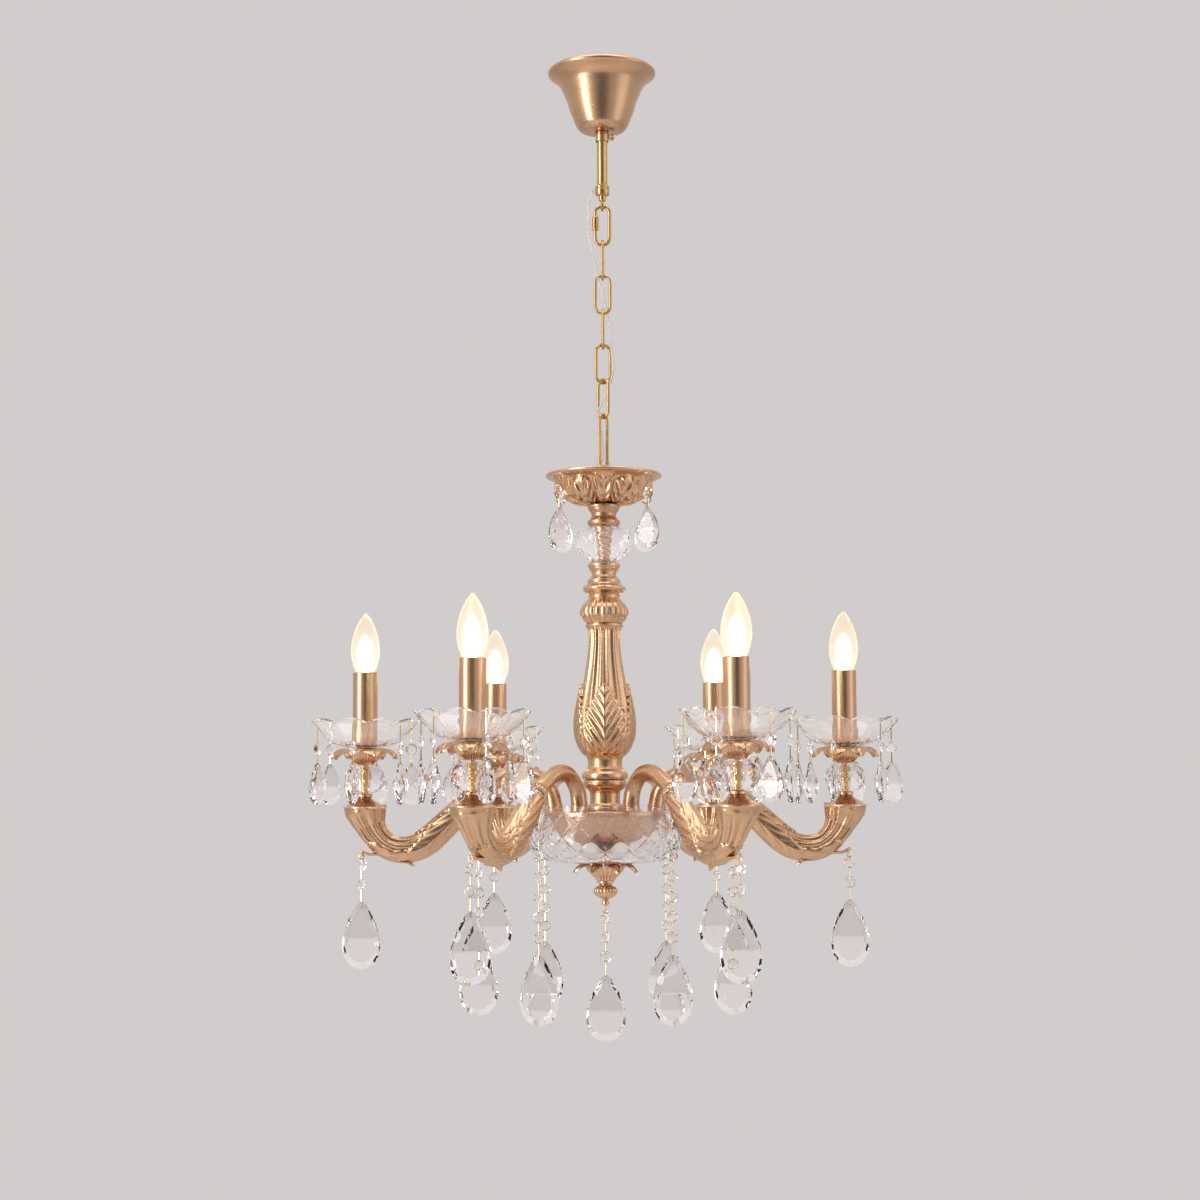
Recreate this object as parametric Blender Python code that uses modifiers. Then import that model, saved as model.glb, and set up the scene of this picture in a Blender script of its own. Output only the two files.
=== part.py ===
"""Six-arm crystal chandelier, hung from a ceiling by an oval-link chain.

The origin is on the ceiling at the middle of the hanging strap and +Z is up, so the whole
fixture lies below zero. Lengths are written in millimetres and scaled to metres by MM.
Each named object is one separate piece. Neighbouring pieces stand 0.3 mm apart.
"""
import math

import bmesh
import bpy
from mathutils import Matrix, Vector

MM = 0.001
GAP = 0.3

# ceiling end
STRAP_LONG = 96.0
STRAP_WIDE = 18.0
STRAP_THICK = 2.5
CANOPY_WALL = 1.3
ROD_R = 6.3
ROD_BORE_R = 3.6
STEM_END_Z = -158.0
COLLAR_TOP_Z = -79.6
COLLAR_END_Z = -91.5
COLLAR_R = 8.0
SCREW_Z = -86.0

# chain: the quick link, five oval links and the crown loop
LINK_WIRE_R = 1.9
LINK_HALF_WIDE = 8.8
QUICK_WIRE_R = 2.2
QUICK_TOP_Z = -167.9
QUICK_END_Z = -219.5
EYE_R = 5.2
EYE_WIRE_R = 1.9
EYE_PIVOT_Z = QUICK_TOP_Z - 2 * QUICK_WIRE_R - EYE_WIRE_R - GAP
LOOP_TOP_Z = -420.0
LINK_COUNT = 5
CABLE_R = 1.5
CABLE_STEP = 8.5
# the direction in which each link's flat plane lies, in degrees from +X
LINK_PLANES = (90.0, 0.0, 90.0, 20.0, 132.0)
LOOP_PLANE = 48.0

# column
TUBE_R = 4.9
BORE_R = 5.3
PLATE_TOP_Z = -890.0

# arms and lamps
ARM_COUNT = 6
LAMP_RADIUS = 280.0
ARM_TOP_Z = -867.8
BALL_TOP_Z = -834.9
CUP_TOP_Z = -816.5
BOBECHE_TOP_Z = -812.5
COVER_TOP_Z = -727.2
COVER_R = 14.4
BULB_TIP_Z = -654.3
ARM_HOOK = (283.0, -937.6)

# strung crystal
HOOK_RING_R = 2.6
HOOK_WIRE_R = 0.8
BEAD_R = 7.0
BEAD_HALF_THICK = 3.4
PENDANT_HALF_THICK = 8.0


def clear_scene():
    """Empty the startup scene and make the two collections."""
    for old in list(bpy.data.objects):
        bpy.data.objects.remove(old)
    root = bpy.context.scene.collection
    shown = bpy.data.collections.new("chandelier")
    root.children.link(shown)
    cutters = bpy.data.collections.new("cutters")
    root.children.link(cutters)
    cutters.hide_render = True
    return shown, cutters


SHOWN, CUTTERS = clear_scene()


def material(name, colour, roughness, metallic=0.0, clear=0.0, glow=0.0):
    """One Principled material."""
    made = bpy.data.materials.new(name)
    made.use_nodes = True
    made.diffuse_color = (*colour, 1.0)
    made.roughness = roughness
    made.metallic = metallic
    shader = made.node_tree.nodes["Principled BSDF"]
    shader.inputs["Base Color"].default_value = (*colour, 1.0)
    shader.inputs["Roughness"].default_value = roughness
    shader.inputs["Metallic"].default_value = metallic
    shader.inputs["Transmission Weight"].default_value = clear
    shader.inputs["Emission Color"].default_value = (1.0, 0.80, 0.50, 1.0)
    shader.inputs["Emission Strength"].default_value = glow
    return made


SATIN = ((0.60, 0.40, 0.24), 0.33, 1.0)
CAST = ((0.62, 0.40, 0.23), 0.38, 1.0)
BRASS = ((0.66, 0.48, 0.22), 0.24, 1.0)
STEEL = ((0.55, 0.54, 0.52), 0.35, 1.0)
CRYSTAL = ((0.95, 0.95, 0.96), 0.02, 0.0, 0.9)
CABLE = ((0.85, 0.86, 0.85), 0.15, 0.0, 0.7)
GLOW_GLASS = ((1.0, 0.90, 0.72), 0.10, 0.0, 0.3, 2.0)


def finish(name, mesh, look, place=None):
    """Link a mesh as a finished piece with its own material, smooth but for its sharp edges."""
    mesh.shade_smooth()
    mesh.set_sharp_from_angle(angle=math.radians(38.0))
    piece = bpy.data.objects.new(name, mesh)
    SHOWN.objects.link(piece)
    mesh.materials.clear()
    mesh.materials.append(material(name + "_finish", *look))
    if place is not None:
        piece.matrix_world = place
    return piece


def pivoted(name, mesh, look, x, y, z):
    """A moving piece, with its origin at the point that it turns about."""
    mesh.transform(Matrix.Translation((-x * MM, -y * MM, -z * MM)))
    finish(name, mesh, look, Matrix.Translation((x * MM, y * MM, z * MM)))


def turn_about_axis(degrees, x=0.0, z=0.0):
    """A place x out from the vertical axis at height z, turned round that axis."""
    around = Matrix.Rotation(math.radians(degrees), 4, "Z")
    return around @ Matrix.Translation((x * MM, 0.0, z * MM))


def baked(helper):
    """The evaluated mesh of a helper object in its own place, with the helper removed."""
    bpy.context.view_layer.update()
    graph = bpy.context.evaluated_depsgraph_get()
    mesh = bpy.data.meshes.new_from_object(helper.evaluated_get(graph))
    mesh.transform(helper.matrix_world)
    bpy.data.objects.remove(helper)
    work = bmesh.new()
    work.from_mesh(mesh)
    bmesh.ops.remove_doubles(work, verts=work.verts, dist=0.00002)
    bmesh.ops.recalc_face_normals(work, faces=work.faces)
    work.to_mesh(mesh)
    work.free()
    return mesh


def helper_object(data):
    made = bpy.data.objects.new("helper", data)
    CUTTERS.objects.link(made)
    return made


def profile_mesh(points, ring):
    """An edge chain in the XZ plane, closed into a loop for a ring."""
    mesh = bpy.data.meshes.new("profile")
    count = len(points)
    edges = [(i, i + 1) for i in range(count - 1)]
    if ring:
        edges.append((count - 1, 0))
    mesh.from_pydata([(r * MM, 0.0, z * MM) for r, z in points], edges, [])
    return mesh


def add_screw(piece, steps):
    turned = piece.modifiers.new("Turn", "SCREW")
    turned.axis = "Z"
    turned.angle = math.tau
    turned.steps = steps
    turned.render_steps = steps
    turned.use_merge_vertices = True
    turned.merge_threshold = 0.00001
    turned.use_smooth_shade = False


def turned_mesh(points, steps, ring=False):
    """A shape turned round the vertical axis. The profile runs down the outer side."""
    helper = helper_object(profile_mesh(points, ring))
    add_screw(helper, steps)
    return baked(helper)


def turned(name, points, look, steps, ring=True, place=None):
    """The same turning as a finished piece."""
    return finish(name, turned_mesh(points, steps, ring), look, place)


def wire_mesh(points, radii, sides_step=2, closed=False):
    """A round wire or tube through the points, with its radius given at each point."""
    curve = bpy.data.curves.new("wire", "CURVE")
    curve.dimensions = "3D"
    curve.bevel_depth = MM
    curve.bevel_resolution = sides_step
    curve.use_fill_caps = not closed
    spline = curve.splines.new("POLY")
    spline.points.add(len(points) - 1)
    for knot, point, radius in zip(spline.points, points, radii):
        knot.co = (point[0] * MM, point[1] * MM, point[2] * MM, 1.0)
        knot.radius = radius
    spline.use_cyclic_u = closed
    return baked(helper_object(curve))


def drum_mesh(radius, z_top, z_low, sides, x=0.0, y=0.0):
    """A plain upright cylinder."""
    work = bmesh.new()
    bmesh.ops.create_cone(
        work,
        cap_ends=True,
        segments=sides,
        radius1=radius * MM,
        radius2=radius * MM,
        depth=(z_top - z_low) * MM,
        matrix=Matrix.Translation((x * MM, y * MM, (z_top + z_low) / 2 * MM)),
    )
    mesh = bpy.data.meshes.new("drum")
    work.to_mesh(mesh)
    work.free()
    return mesh


def box_mesh(size, centre):
    work = bmesh.new()
    bmesh.ops.create_cube(work, size=1.0)
    bmesh.ops.scale(work, vec=[side * MM for side in size], verts=work.verts)
    bmesh.ops.translate(work, vec=[side * MM for side in centre], verts=work.verts)
    mesh = bpy.data.meshes.new("box")
    work.to_mesh(mesh)
    work.free()
    return mesh


def boolean(base, others, operation):
    """Join the meshes to the base, or cut them from it, one after another."""
    body = helper_object(base)
    partners = []
    for other in others:
        partner = helper_object(other)
        partner.hide_render = True
        partner.display_type = "WIRE"
        step = body.modifiers.new("Step", "BOOLEAN")
        step.operation = operation
        step.solver = "EXACT"
        step.object = partner
        partners.append(partner)
    mesh = baked(body)
    for partner in partners:
        bpy.data.objects.remove(partner)
    return mesh


def joined(base, *others):
    return boolean(base, others, "UNION")


def cut(base, *others):
    return boolean(base, others, "DIFFERENCE")


def laid(mesh, place):
    """The mesh moved by a matrix."""
    mesh.transform(place)
    return mesh


def ring_mesh(radius, wire_r, centre, plane_degrees, knots=6, sides_step=0):
    """A round wire ring standing upright, its plane turned from +X."""
    angle = math.radians(plane_degrees)
    points = []
    for i in range(knots):
        around = math.tau * (i + 0.5) / knots
        out = radius * math.cos(around)
        points.append((
            centre[0] + out * math.cos(angle),
            centre[1] + out * math.sin(angle),
            centre[2] + radius * math.sin(around),
        ))
    return wire_mesh(points, [wire_r] * knots, sides_step, closed=True)


def smooth_route(points, spacing):
    """Points at even steps along a smooth curve through a route's own points."""
    knots = [Vector(point) for point in points]
    knots = [2 * knots[0] - knots[1]] + knots + [2 * knots[-1] - knots[-2]]
    route = []
    for a, b, c, d in zip(knots, knots[1:], knots[2:], knots[3:]):
        steps = max(1, round((c - b).length / spacing))
        for i in range(steps):
            t = i / steps
            route.append(0.5 * (
                2 * b + (c - a) * t + (2 * a - 5 * b + 4 * c - d) * t ** 2
                + (3 * b - a - 3 * c + d) * t ** 3))
    return route + [knots[-2]]


def oval_points(top_z, low_z, half_wide, wire_r, plane_degrees, arc_steps=6):
    """The middle line of an upright oval link between two outer heights."""
    angle = math.radians(plane_degrees)
    high = top_z - wire_r - half_wide
    low = low_z + wire_r + half_wide
    points = []
    for centre_z, start in ((high, 0.0), (low, math.pi)):
        for i in range(arc_steps + 1):
            around = start + math.pi * i / arc_steps
            out = half_wide * math.cos(around)
            rise = half_wide * math.sin(around)
            points.append((out * math.cos(angle), out * math.sin(angle), centre_z + rise))
    return points


# ---------------------------------------------------------------- ceiling end
def ceiling_pieces():
    """The strap on the ceiling, the stem, and the canopy that covers both."""
    strap = box_mesh((STRAP_LONG, STRAP_WIDE, STRAP_THICK), (0, 0, -STRAP_THICK / 2))
    slots = [box_mesh((14.0, 5.0, 6.0), (side * 34.0, 0, -STRAP_THICK / 2)) for side in (-1, 1)]
    finish("ceiling_strap", cut(strap, *slots), STEEL)

    outside = [
        (60.0, -0.2), (64.2, -3.4), (63.6, -8.2), (60.0, -12.2), (51.8, -19.0), (48.4, -25.0),
        (42.6, -40.0), (37.6, -55.5), (30.6, -71.5), (25.4, -77.0), (18.5, -79.3), (7.0, -79.3),
    ]
    inside = [
        (7.0, -77.9), (18.0, -77.9), (28.4, -71.6), (36.2, -55.0), (46.6, -26.0),
        (58.8, -10.6), (61.2, -4.0),
    ]
    turned("canopy", outside + inside, SATIN, 20)

    collar = turned_mesh(
        [(COLLAR_R, COLLAR_TOP_Z), (COLLAR_R, COLLAR_END_Z), (6.8, COLLAR_END_Z),
         (6.8, COLLAR_TOP_Z)], 16, ring=True)
    side_hole = laid(
        drum_mesh(1.7, 8.0, -8.0, 10),
        Matrix.Translation((8.0 * MM, 0, SCREW_Z * MM)) @ Matrix.Rotation(math.pi / 2, 4, "Y"))
    finish("canopy_collar", cut(collar, side_hole), SATIN)

    lying = Matrix.Translation((0, 0, SCREW_Z * MM)) @ Matrix.Rotation(math.pi / 2, 4, "Y")
    shank = drum_mesh(1.3, 12.0, ROD_R + GAP, 8)
    knob = drum_mesh(3.0, 14.4, 8.7, 12)
    screw_mesh = laid(joined(knob, shank), lying)
    screw_mesh.transform(Matrix.Translation((0, 0, -SCREW_Z * MM)))
    finish("collar_screw", screw_mesh, BRASS, Matrix.Translation((0, 0, SCREW_Z * MM)))

    rod = turned_mesh([
        (0.0, -2.8), (9.0, -2.8), (9.0, -8.0), (ROD_R, -8.0), (ROD_R, -145.0), (8.4, -145.6),
        (8.6, -147.5), (7.9, -149.0), (8.6, -150.5), (8.6, -155.8), (7.6, STEM_END_Z),
        (0.0, STEM_END_Z)], 16)
    bore = drum_mesh(ROD_BORE_R, -9.5, -152.0, 12)
    outlet = laid(
        drum_mesh(3.0, 10.0, 0.0, 10),
        Matrix.Translation((0, 0, -149.5 * MM)) @ Matrix.Rotation(-math.pi / 2, 4, "Y"))
    inlet = laid(
        drum_mesh(2.6, 12.0, 0.0, 10),
        Matrix.Translation((0, 0, -14.2 * MM)) @ Matrix.Rotation(math.pi / 2, 4, "Y"))
    neck = drum_mesh(4.2, STEM_END_Z + 1.0, STEM_END_Z - 6.6, 12)
    eye = ring_mesh(EYE_R, EYE_WIRE_R, (0, 0, EYE_PIVOT_Z + EYE_R), 90.0, knots=10, sides_step=1)
    finish("stem_rod", joined(cut(rod, bore, outlet, inlet), neck, eye), BRASS)


# ---------------------------------------------------------------- chain
def link_heights():
    """Outer top and bottom of each oval link, hung between the quick link and the crown loop."""
    first_top = QUICK_END_Z + 2 * QUICK_WIRE_R + 2 * LINK_WIRE_R + GAP
    step_back = 4 * LINK_WIRE_R + GAP
    length = (first_top - LOOP_TOP_Z + LINK_COUNT * step_back) / LINK_COUNT
    tops = [first_top - i * (length - step_back) for i in range(LINK_COUNT)]
    return [(top, top - length) for top in tops]


def cable_route():
    """The middle line of the clear supply cable, from the canopy down through the chain."""
    return [
        (24.0, 0.0, -12.6), (16.0, 0.0, -13.4), (8.0, 0.0, -14.0), (2.2, 0.0, -14.6),
        (0.0, 0.0, -17.8), (0.0, 0.0, -26.0), (0.0, 0.0, -80.0), (0.0, 0.0, -142.0),
        (-0.4, 0.0, -146.5), (-3.2, 0.0, -149.3), (-9.8, 0.0, -150.2), (-13.6, -1.2, -155.0),
        (-16.0, -3.0, -166.0), (-16.8, -3.4, -180.0), (-16.4, -3.4, -204.0),
        (-12.6, -3.6, -224.0), (-9.6, -4.0, -240.0), (-7.6, -4.4, -252.0),
        (-4.4, -4.8, -263.0), (-1.6, -3.4, -272.0), (0.6, 0.4, -281.0), (3.2, 4.0, -290.0),
        (5.6, 5.2, -300.0), (7.4, 4.4, -312.0), (8.2, 2.6, -326.0), (9.4, -0.6, -340.0),
        (11.6, -4.6, -354.0), (11.9, -5.0, -366.0), (11.0, -4.4, -376.0), (7.7, -1.1, -386.0),
        (4.6, 0.8, -394.0), (1.1, 1.0, -402.0), (-2.8, 0.5, -411.0), (-5.8, -0.2, -418.0),
        (-5.8, -0.2, -426.0), (-5.3, 0.1, -432.0), (-2.9, 0.5, -441.0), (-0.3, 0.3, -452.0),
        (0.0, 0.0, -478.0),
    ]


def chain_pieces():
    """The quick link with its screw sleeve, the oval links and the cable beside them."""
    ring = oval_points(QUICK_TOP_Z, QUICK_END_Z, LINK_HALF_WIDE - 0.3, QUICK_WIRE_R, 0.0)
    quick = wire_mesh(ring, [QUICK_WIRE_R] * len(ring), 2, closed=True)
    pivoted("quick_link", quick, BRASS, 0.0, 0.0, EYE_PIVOT_Z)
    leg = -(LINK_HALF_WIDE - 0.3)
    turned("quick_link_sleeve",
           [(3.3, -182.5), (3.9, -183.3), (3.9, -198.8), (3.3, -199.6), (2.6, -199.6),
            (2.6, -182.5)],
           BRASS, 8, place=Matrix.Translation((leg * MM, 0, 0)))
    pivot_z = QUICK_END_Z + QUICK_WIRE_R
    for number, ((top, low), plane) in enumerate(zip(link_heights(), LINK_PLANES), start=1):
        ring = oval_points(top, low, LINK_HALF_WIDE, LINK_WIRE_R, plane)
        link = wire_mesh(ring, [LINK_WIRE_R] * len(ring), 2, closed=True)
        pivoted(f"chain_link_{number}", link, BRASS, 0.0, 0.0, pivot_z)
        pivot_z = low + LINK_WIRE_R
    route = smooth_route(cable_route(), CABLE_STEP)
    finish("supply_cable", wire_mesh(route, [CABLE_R] * len(route)), CABLE)


# ---------------------------------------------------------------- column
def crown_pieces():
    """The loop that takes the chain, and the dish round it."""
    angle = math.radians(LOOP_PLANE)
    half = 6.6
    arc_z = LOOP_TOP_Z - LINK_WIRE_R - half
    outs = [(-half, -486.0), (-half, arc_z - 10.0)]
    outs += [(-half * math.cos(math.pi * i / 6), arc_z + half * math.sin(math.pi * i / 6))
             for i in range(7)]
    outs += [(half, arc_z - 10.0), (half, -486.0)]
    line = [(out * math.cos(angle), out * math.sin(angle), z) for out, z in outs]
    hoop = wire_mesh(line, [LINK_WIRE_R] * len(line), 1)
    base = turned_mesh([
        (0.0, -484.0), (10.4, -484.0), (10.4, -489.0), (6.0, -491.0),
        (6.0, -519.0), (10.5, -519.0), (10.5, -525.4), (0.0, -525.4)], 12)
    socket = drum_mesh(BORE_R, -500.0, -530.0, 12)
    feet = [drum_mesh(2.9, -479.0, -485.0, 10, side * half * math.cos(angle),
                      side * half * math.sin(angle)) for side in (-1, 1)]
    finish("crown_loop", joined(cut(base, socket), hoop, *feet), BRASS)

    turned("crown_dish", [
        (64.0, -490.0), (67.6, -491.4), (68.4, -494.4), (66.6, -498.2), (57.5, -505.6),
        (48.6, -516.0), (41.0, -523.0), (31.0, -526.9), (17.7, -528.4), (BORE_R, -528.4),
        (BORE_R, -525.7), (28.0, -524.4), (40.0, -518.2), (54.0, -504.2), (63.6, -494.6)],
        CAST, 20)


def neck_profile(top):
    """A stepped cup, waist and ring, used above and below the cut-glass vase."""
    drops = [
        (16.8, 0.0), (19.3, 2.6), (19.3, 5.4), (17.8, 7.6), (14.8, 12.0), (14.6, 15.0),
        (19.2, 21.0), (19.2, 24.2)]
    return [(r, top - drop) for r, drop in drops]


def column_pieces():
    """The turned and cast pieces threaded on the centre tube, from the crown to the hub."""
    turned("neck_upper",
           neck_profile(-528.7) + [(16.8, -556.4), (BORE_R, -556.4),
                                   (BORE_R, -528.7)], CAST, 16)
    turned("vase_glass", [
        (15.2, -556.8), (24.0, -558.4), (32.4, -563.6), (35.4, -571.0), (33.0, -580.0),
        (25.0, -589.6), (15.4, -598.0), (7.2, -598.0), (8.6, -580.0), (12.6, -556.8)],
        CRYSTAL, 18)
    turned("centre_tube", [
        (0.0, -505.0), (TUBE_R, -505.0), (TUBE_R, -557.0), (9.6, -557.6), (7.4, -572.0),
        (6.0, -586.0), (5.2, -597.4), (TUBE_R, -598.2), (TUBE_R, -957.0), (0.0, -957.0)],
        CAST, 12, ring=False)

    flutes = [
        (20.6, -673.0), (19.2, -680.0), (18.6, -692.0), (21.3, -711.0), (25.2, -735.0)]
    leaves = [
        (30.2, -744.0), (31.6, -761.0), (36.6, -780.0), (37.4, -792.0), (35.8, -805.0),
        (30.0, -818.0)]
    outside = neck_profile(-598.4) + [
        (25.8, -629.6), (23.4, -633.2), (18.6, -636.0), (18.9, -642.0), (23.6, -648.6),
        (28.6, -657.6), (25.0, -667.4), (21.6, -671.0)] + flutes + leaves + [
        (23.8, -824.0), (19.6, -835.6), (22.6, -840.6), (26.8, -846.4), (26.8, -852.6)]
    hollow = [
        (BORE_R, -852.6), (BORE_R, -842.0), (15.0, -828.0), (31.4, -800.0), (31.2, -784.0),
        (14.5, -694.0), (BORE_R, -680.0), (BORE_R, -598.4)]
    turned("baluster", outside + hollow, CAST, 18)

    turned("column_foot", [
        (24.4, -853.0), (24.6, -861.4), (17.5, -868.0), (17.5, -881.0), (22.0, -885.0),
        (22.0, -889.7), (BORE_R, -889.7), (BORE_R, -853.0)], SATIN, 16)

    turned("hub_cup", [
        (73.7, PLATE_TOP_Z), (73.7, -896.4), (61.0, -907.8), (48.0, -918.4), (34.0, -927.2),
        (20.0, -933.0), (BORE_R, -935.0), (BORE_R, -932.6), (19.0, -930.6), (46.5, -916.4),
        (70.8, -895.4), (70.8, -892.4), (BORE_R, -892.4), (BORE_R, PLATE_TOP_Z)], SATIN, 20)

    glass = turned_mesh([
        (77.8, -884.0), (81.4, -897.0), (89.0, -920.0), (87.4, -931.0), (79.0, -941.0),
        (64.0, -948.0), (BORE_R, -949.8), (BORE_R, -944.6), (60.0, -943.0), (74.6, -936.2),
        (83.2, -924.0), (75.4, -884.4)], 28, ring=True)
    scallop(glass, 14, 60.0, -905.0, 20.0, 3.4)
    finish("bowl_glass", glass, CRYSTAL)

    cap = turned_mesh([
        (0.0, -950.2), (23.0, -950.2), (21.4, -955.2), (11.2, -966.4), (9.2, -971.6),
        (7.4, -973.6), (13.8, -980.4), (11.6, -985.8), (4.0, -990.6), (4.0, -996.0),
        (0.0, -999.2)], 12)
    blind = drum_mesh(BORE_R, -940.0, -957.4, 10)
    eyelet = ring_mesh(HOOK_RING_R, HOOK_WIRE_R, (0, 0, -1001.2), 90.0)
    tips = [laid(box_mesh((17.0, 9.0, 1.8), (29.0, 0, -952.6)),
                 Matrix.Rotation(math.tau * (i + 0.5) / 8, 4, "Z")) for i in range(8)]
    finish("finial", joined(cut(cap, blind), eyelet, *tips), CAST)


def scallop(mesh, waves, inner_r, low_z, reach, depth):
    """Raise and lower a glass rim in even waves, fading out below it."""
    for vertex in mesh.vertices:
        x, y, z = (value / MM for value in vertex.co)
        share = (z - low_z) / reach
        if math.hypot(x, y) < inner_r or share <= 0.0:
            continue
        phase = math.cos(waves * math.atan2(y, x))
        vertex.co.z += min(share, 1.0) * depth * phase * MM


# ---------------------------------------------------------------- arms and lamps
ARM_LINE = (
    # distance from the axis, height, radius of the section
    (60.0, -889.7, 9.6), (60.0, -880.0, 9.2), (65.0, -864.0, 9.0), (80.0, -849.6, 9.0),
    (99.0, -845.8, 9.0), (118.0, -849.6, 9.0), (141.0, -862.6, 9.6), (147.0, -866.8, 12.0),
    (152.6, -871.2, 12.0), (158.0, -876.0, 11.0), (180.0, -898.6, 13.6), (205.0, -921.6, 15.0),
    (222.0, -931.4, 14.8), (240.0, -933.0, 14.2), (254.0, -927.6, 14.6), (265.4, -917.2, 16.4),
    (272.6, -905.0, 19.2), (279.0, -884.4, 25.4), (280.0, -879.6, 15.0), (280.0, -874.0, 8.2),
    (280.0, -872.4, 9.2), (280.0, ARM_TOP_Z, 9.2),
)


def arm_mesh():
    """One cast arm along +X: round tube, ring, carved section, fluted mouth and its hook."""
    line = [(x, 0.0, z) for x, z, _ in ARM_LINE]
    body = wire_mesh(line, [radius for _, _, radius in ARM_LINE], 3)
    hook_x, hook_z = ARM_HOOK
    spur = wire_mesh([(262.0, 0, -934.0), (276.0, 0, -936.0), (284.0, 0, -933.4)],
                     [7.0, 4.0, 1.2], 0)
    eyelet = ring_mesh(HOOK_RING_R, HOOK_WIRE_R, (hook_x, 0, hook_z), 90.0)
    return joined(body, spur, eyelet)


def bobeche_mesh():
    """A shallow scalloped glass dish round the foot of the candle cover."""
    mesh = turned_mesh([
        (61.0, -782.0), (56.4, -794.6), (48.0, -804.6), (33.0, -812.4), (20.0, -816.2),
        (6.2, -816.2), (6.2, BOBECHE_TOP_Z), (18.6, BOBECHE_TOP_Z), (45.2, -802.2),
        (53.4, -793.0), (58.6, -780.2)], 20, ring=True)
    scallop(mesh, 10, 40.0, -806.0, 24.0, 2.6)
    return mesh


def lamp_profile():
    """Candle cover, lampholder, threaded nipple, leaf cup and rope sleeve in one turning."""
    cover_end = BOBECHE_TOP_Z + GAP
    holder_top = COVER_TOP_Z - 4.3
    return [
        (0.0, -758.4), (8.0, -758.4), (8.0, holder_top), (12.2, holder_top),
        (12.2, -764.0), (5.0, -764.0), (5.0, -809.4), (13.5, -809.4),
        (13.5, COVER_TOP_Z), (COVER_R, COVER_TOP_Z), (COVER_R, cover_end), (5.1, cover_end),
        (5.1, CUP_TOP_Z), (20.8, CUP_TOP_Z), (21.0, -818.0), (18.8, -824.0), (13.8, -830.2),
        (9.6, BALL_TOP_Z + GAP), (5.0, BALL_TOP_Z + GAP), (5.0, ARM_TOP_Z + GAP),
        (0.0, ARM_TOP_Z + GAP)]


def bulb_profile():
    """A flame-shaped bulb with its screw base, from the tip down."""
    return [
        (0.0, BULB_TIP_Z), (1.6, -656.4), (4.4, -664.6), (9.4, -676.0), (14.2, -688.0),
        (17.0, -699.0), (17.4, -708.0), (12.2, -727.0), (7.2, -731.0), (7.0, -752.0),
        (0.0, -756.4)]


def bead_mesh(centre_z):
    """A flat eight-sided cut bead whose broad faces look along Y."""
    half = BEAD_HALF_THICK
    flat = turned_mesh([(0.0, half), (3.4, half), (BEAD_R, 0.0), (3.4, -half), (0.0, -half)], 8)
    around = Matrix.Rotation(math.pi / 2, 4, "X") @ Matrix.Rotation(math.pi / 8, 4, "Z")
    return laid(flat, Matrix.Translation((0, 0, centre_z * MM)) @ around)


def almond_mesh(top_z, low_z, half_wide):
    """A flat faceted drop: a pointed top, a round foot, and a table on each broad face."""
    tall = top_z - low_z
    outline = [
        (0.0, 0.0), (0.36, 0.16), (0.68, 0.34), (0.92, 0.52), (1.0, 0.67), (0.88, 0.83),
        (0.52, 0.95), (0.0, 1.0)]
    ring = outline + [(-x, z) for x, z in reversed(outline[1:-1])]
    work = bmesh.new()
    rows = []
    for share, depth in ((0.46, -1.0), (1.0, 0.0), (0.46, 1.0)):
        row = []
        for x, z in ring:
            middle = top_z - 0.64 * tall
            height = middle + (top_z - z * tall - middle) * share
            row.append(work.verts.new(
                (x * half_wide * share * MM, depth * PENDANT_HALF_THICK * MM, height * MM)))
        rows.append(row)
    count = len(ring)
    for near, far in zip(rows, rows[1:]):
        for i in range(count):
            after = (i + 1) % count
            work.faces.new((near[i], near[after], far[after], far[i]))
    work.faces.new(rows[0])
    work.faces.new(rows[-1])
    bmesh.ops.recalc_face_normals(work, faces=work.faces)
    mesh = bpy.data.meshes.new("almond")
    work.to_mesh(mesh)
    work.free()
    return mesh


def string_mesh(hook_z, beads, drop_top, drop_low, half_wide, ring_plane):
    """A ring, its beads on a wire pin and the large drop below, as one hanging piece."""
    ring_z = hook_z - 2 * HOOK_RING_R + 2 * HOOK_WIRE_R + GAP
    pin = drum_mesh(0.9, ring_z - HOOK_RING_R + 0.3, drop_top - 3.0, 7)
    ring = ring_mesh(HOOK_RING_R, HOOK_WIRE_R, (0, 0, ring_z), ring_plane)
    return joined(almond_mesh(drop_top, drop_low, half_wide), pin, ring,
                  *[bead_mesh(z) for z in beads])


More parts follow.
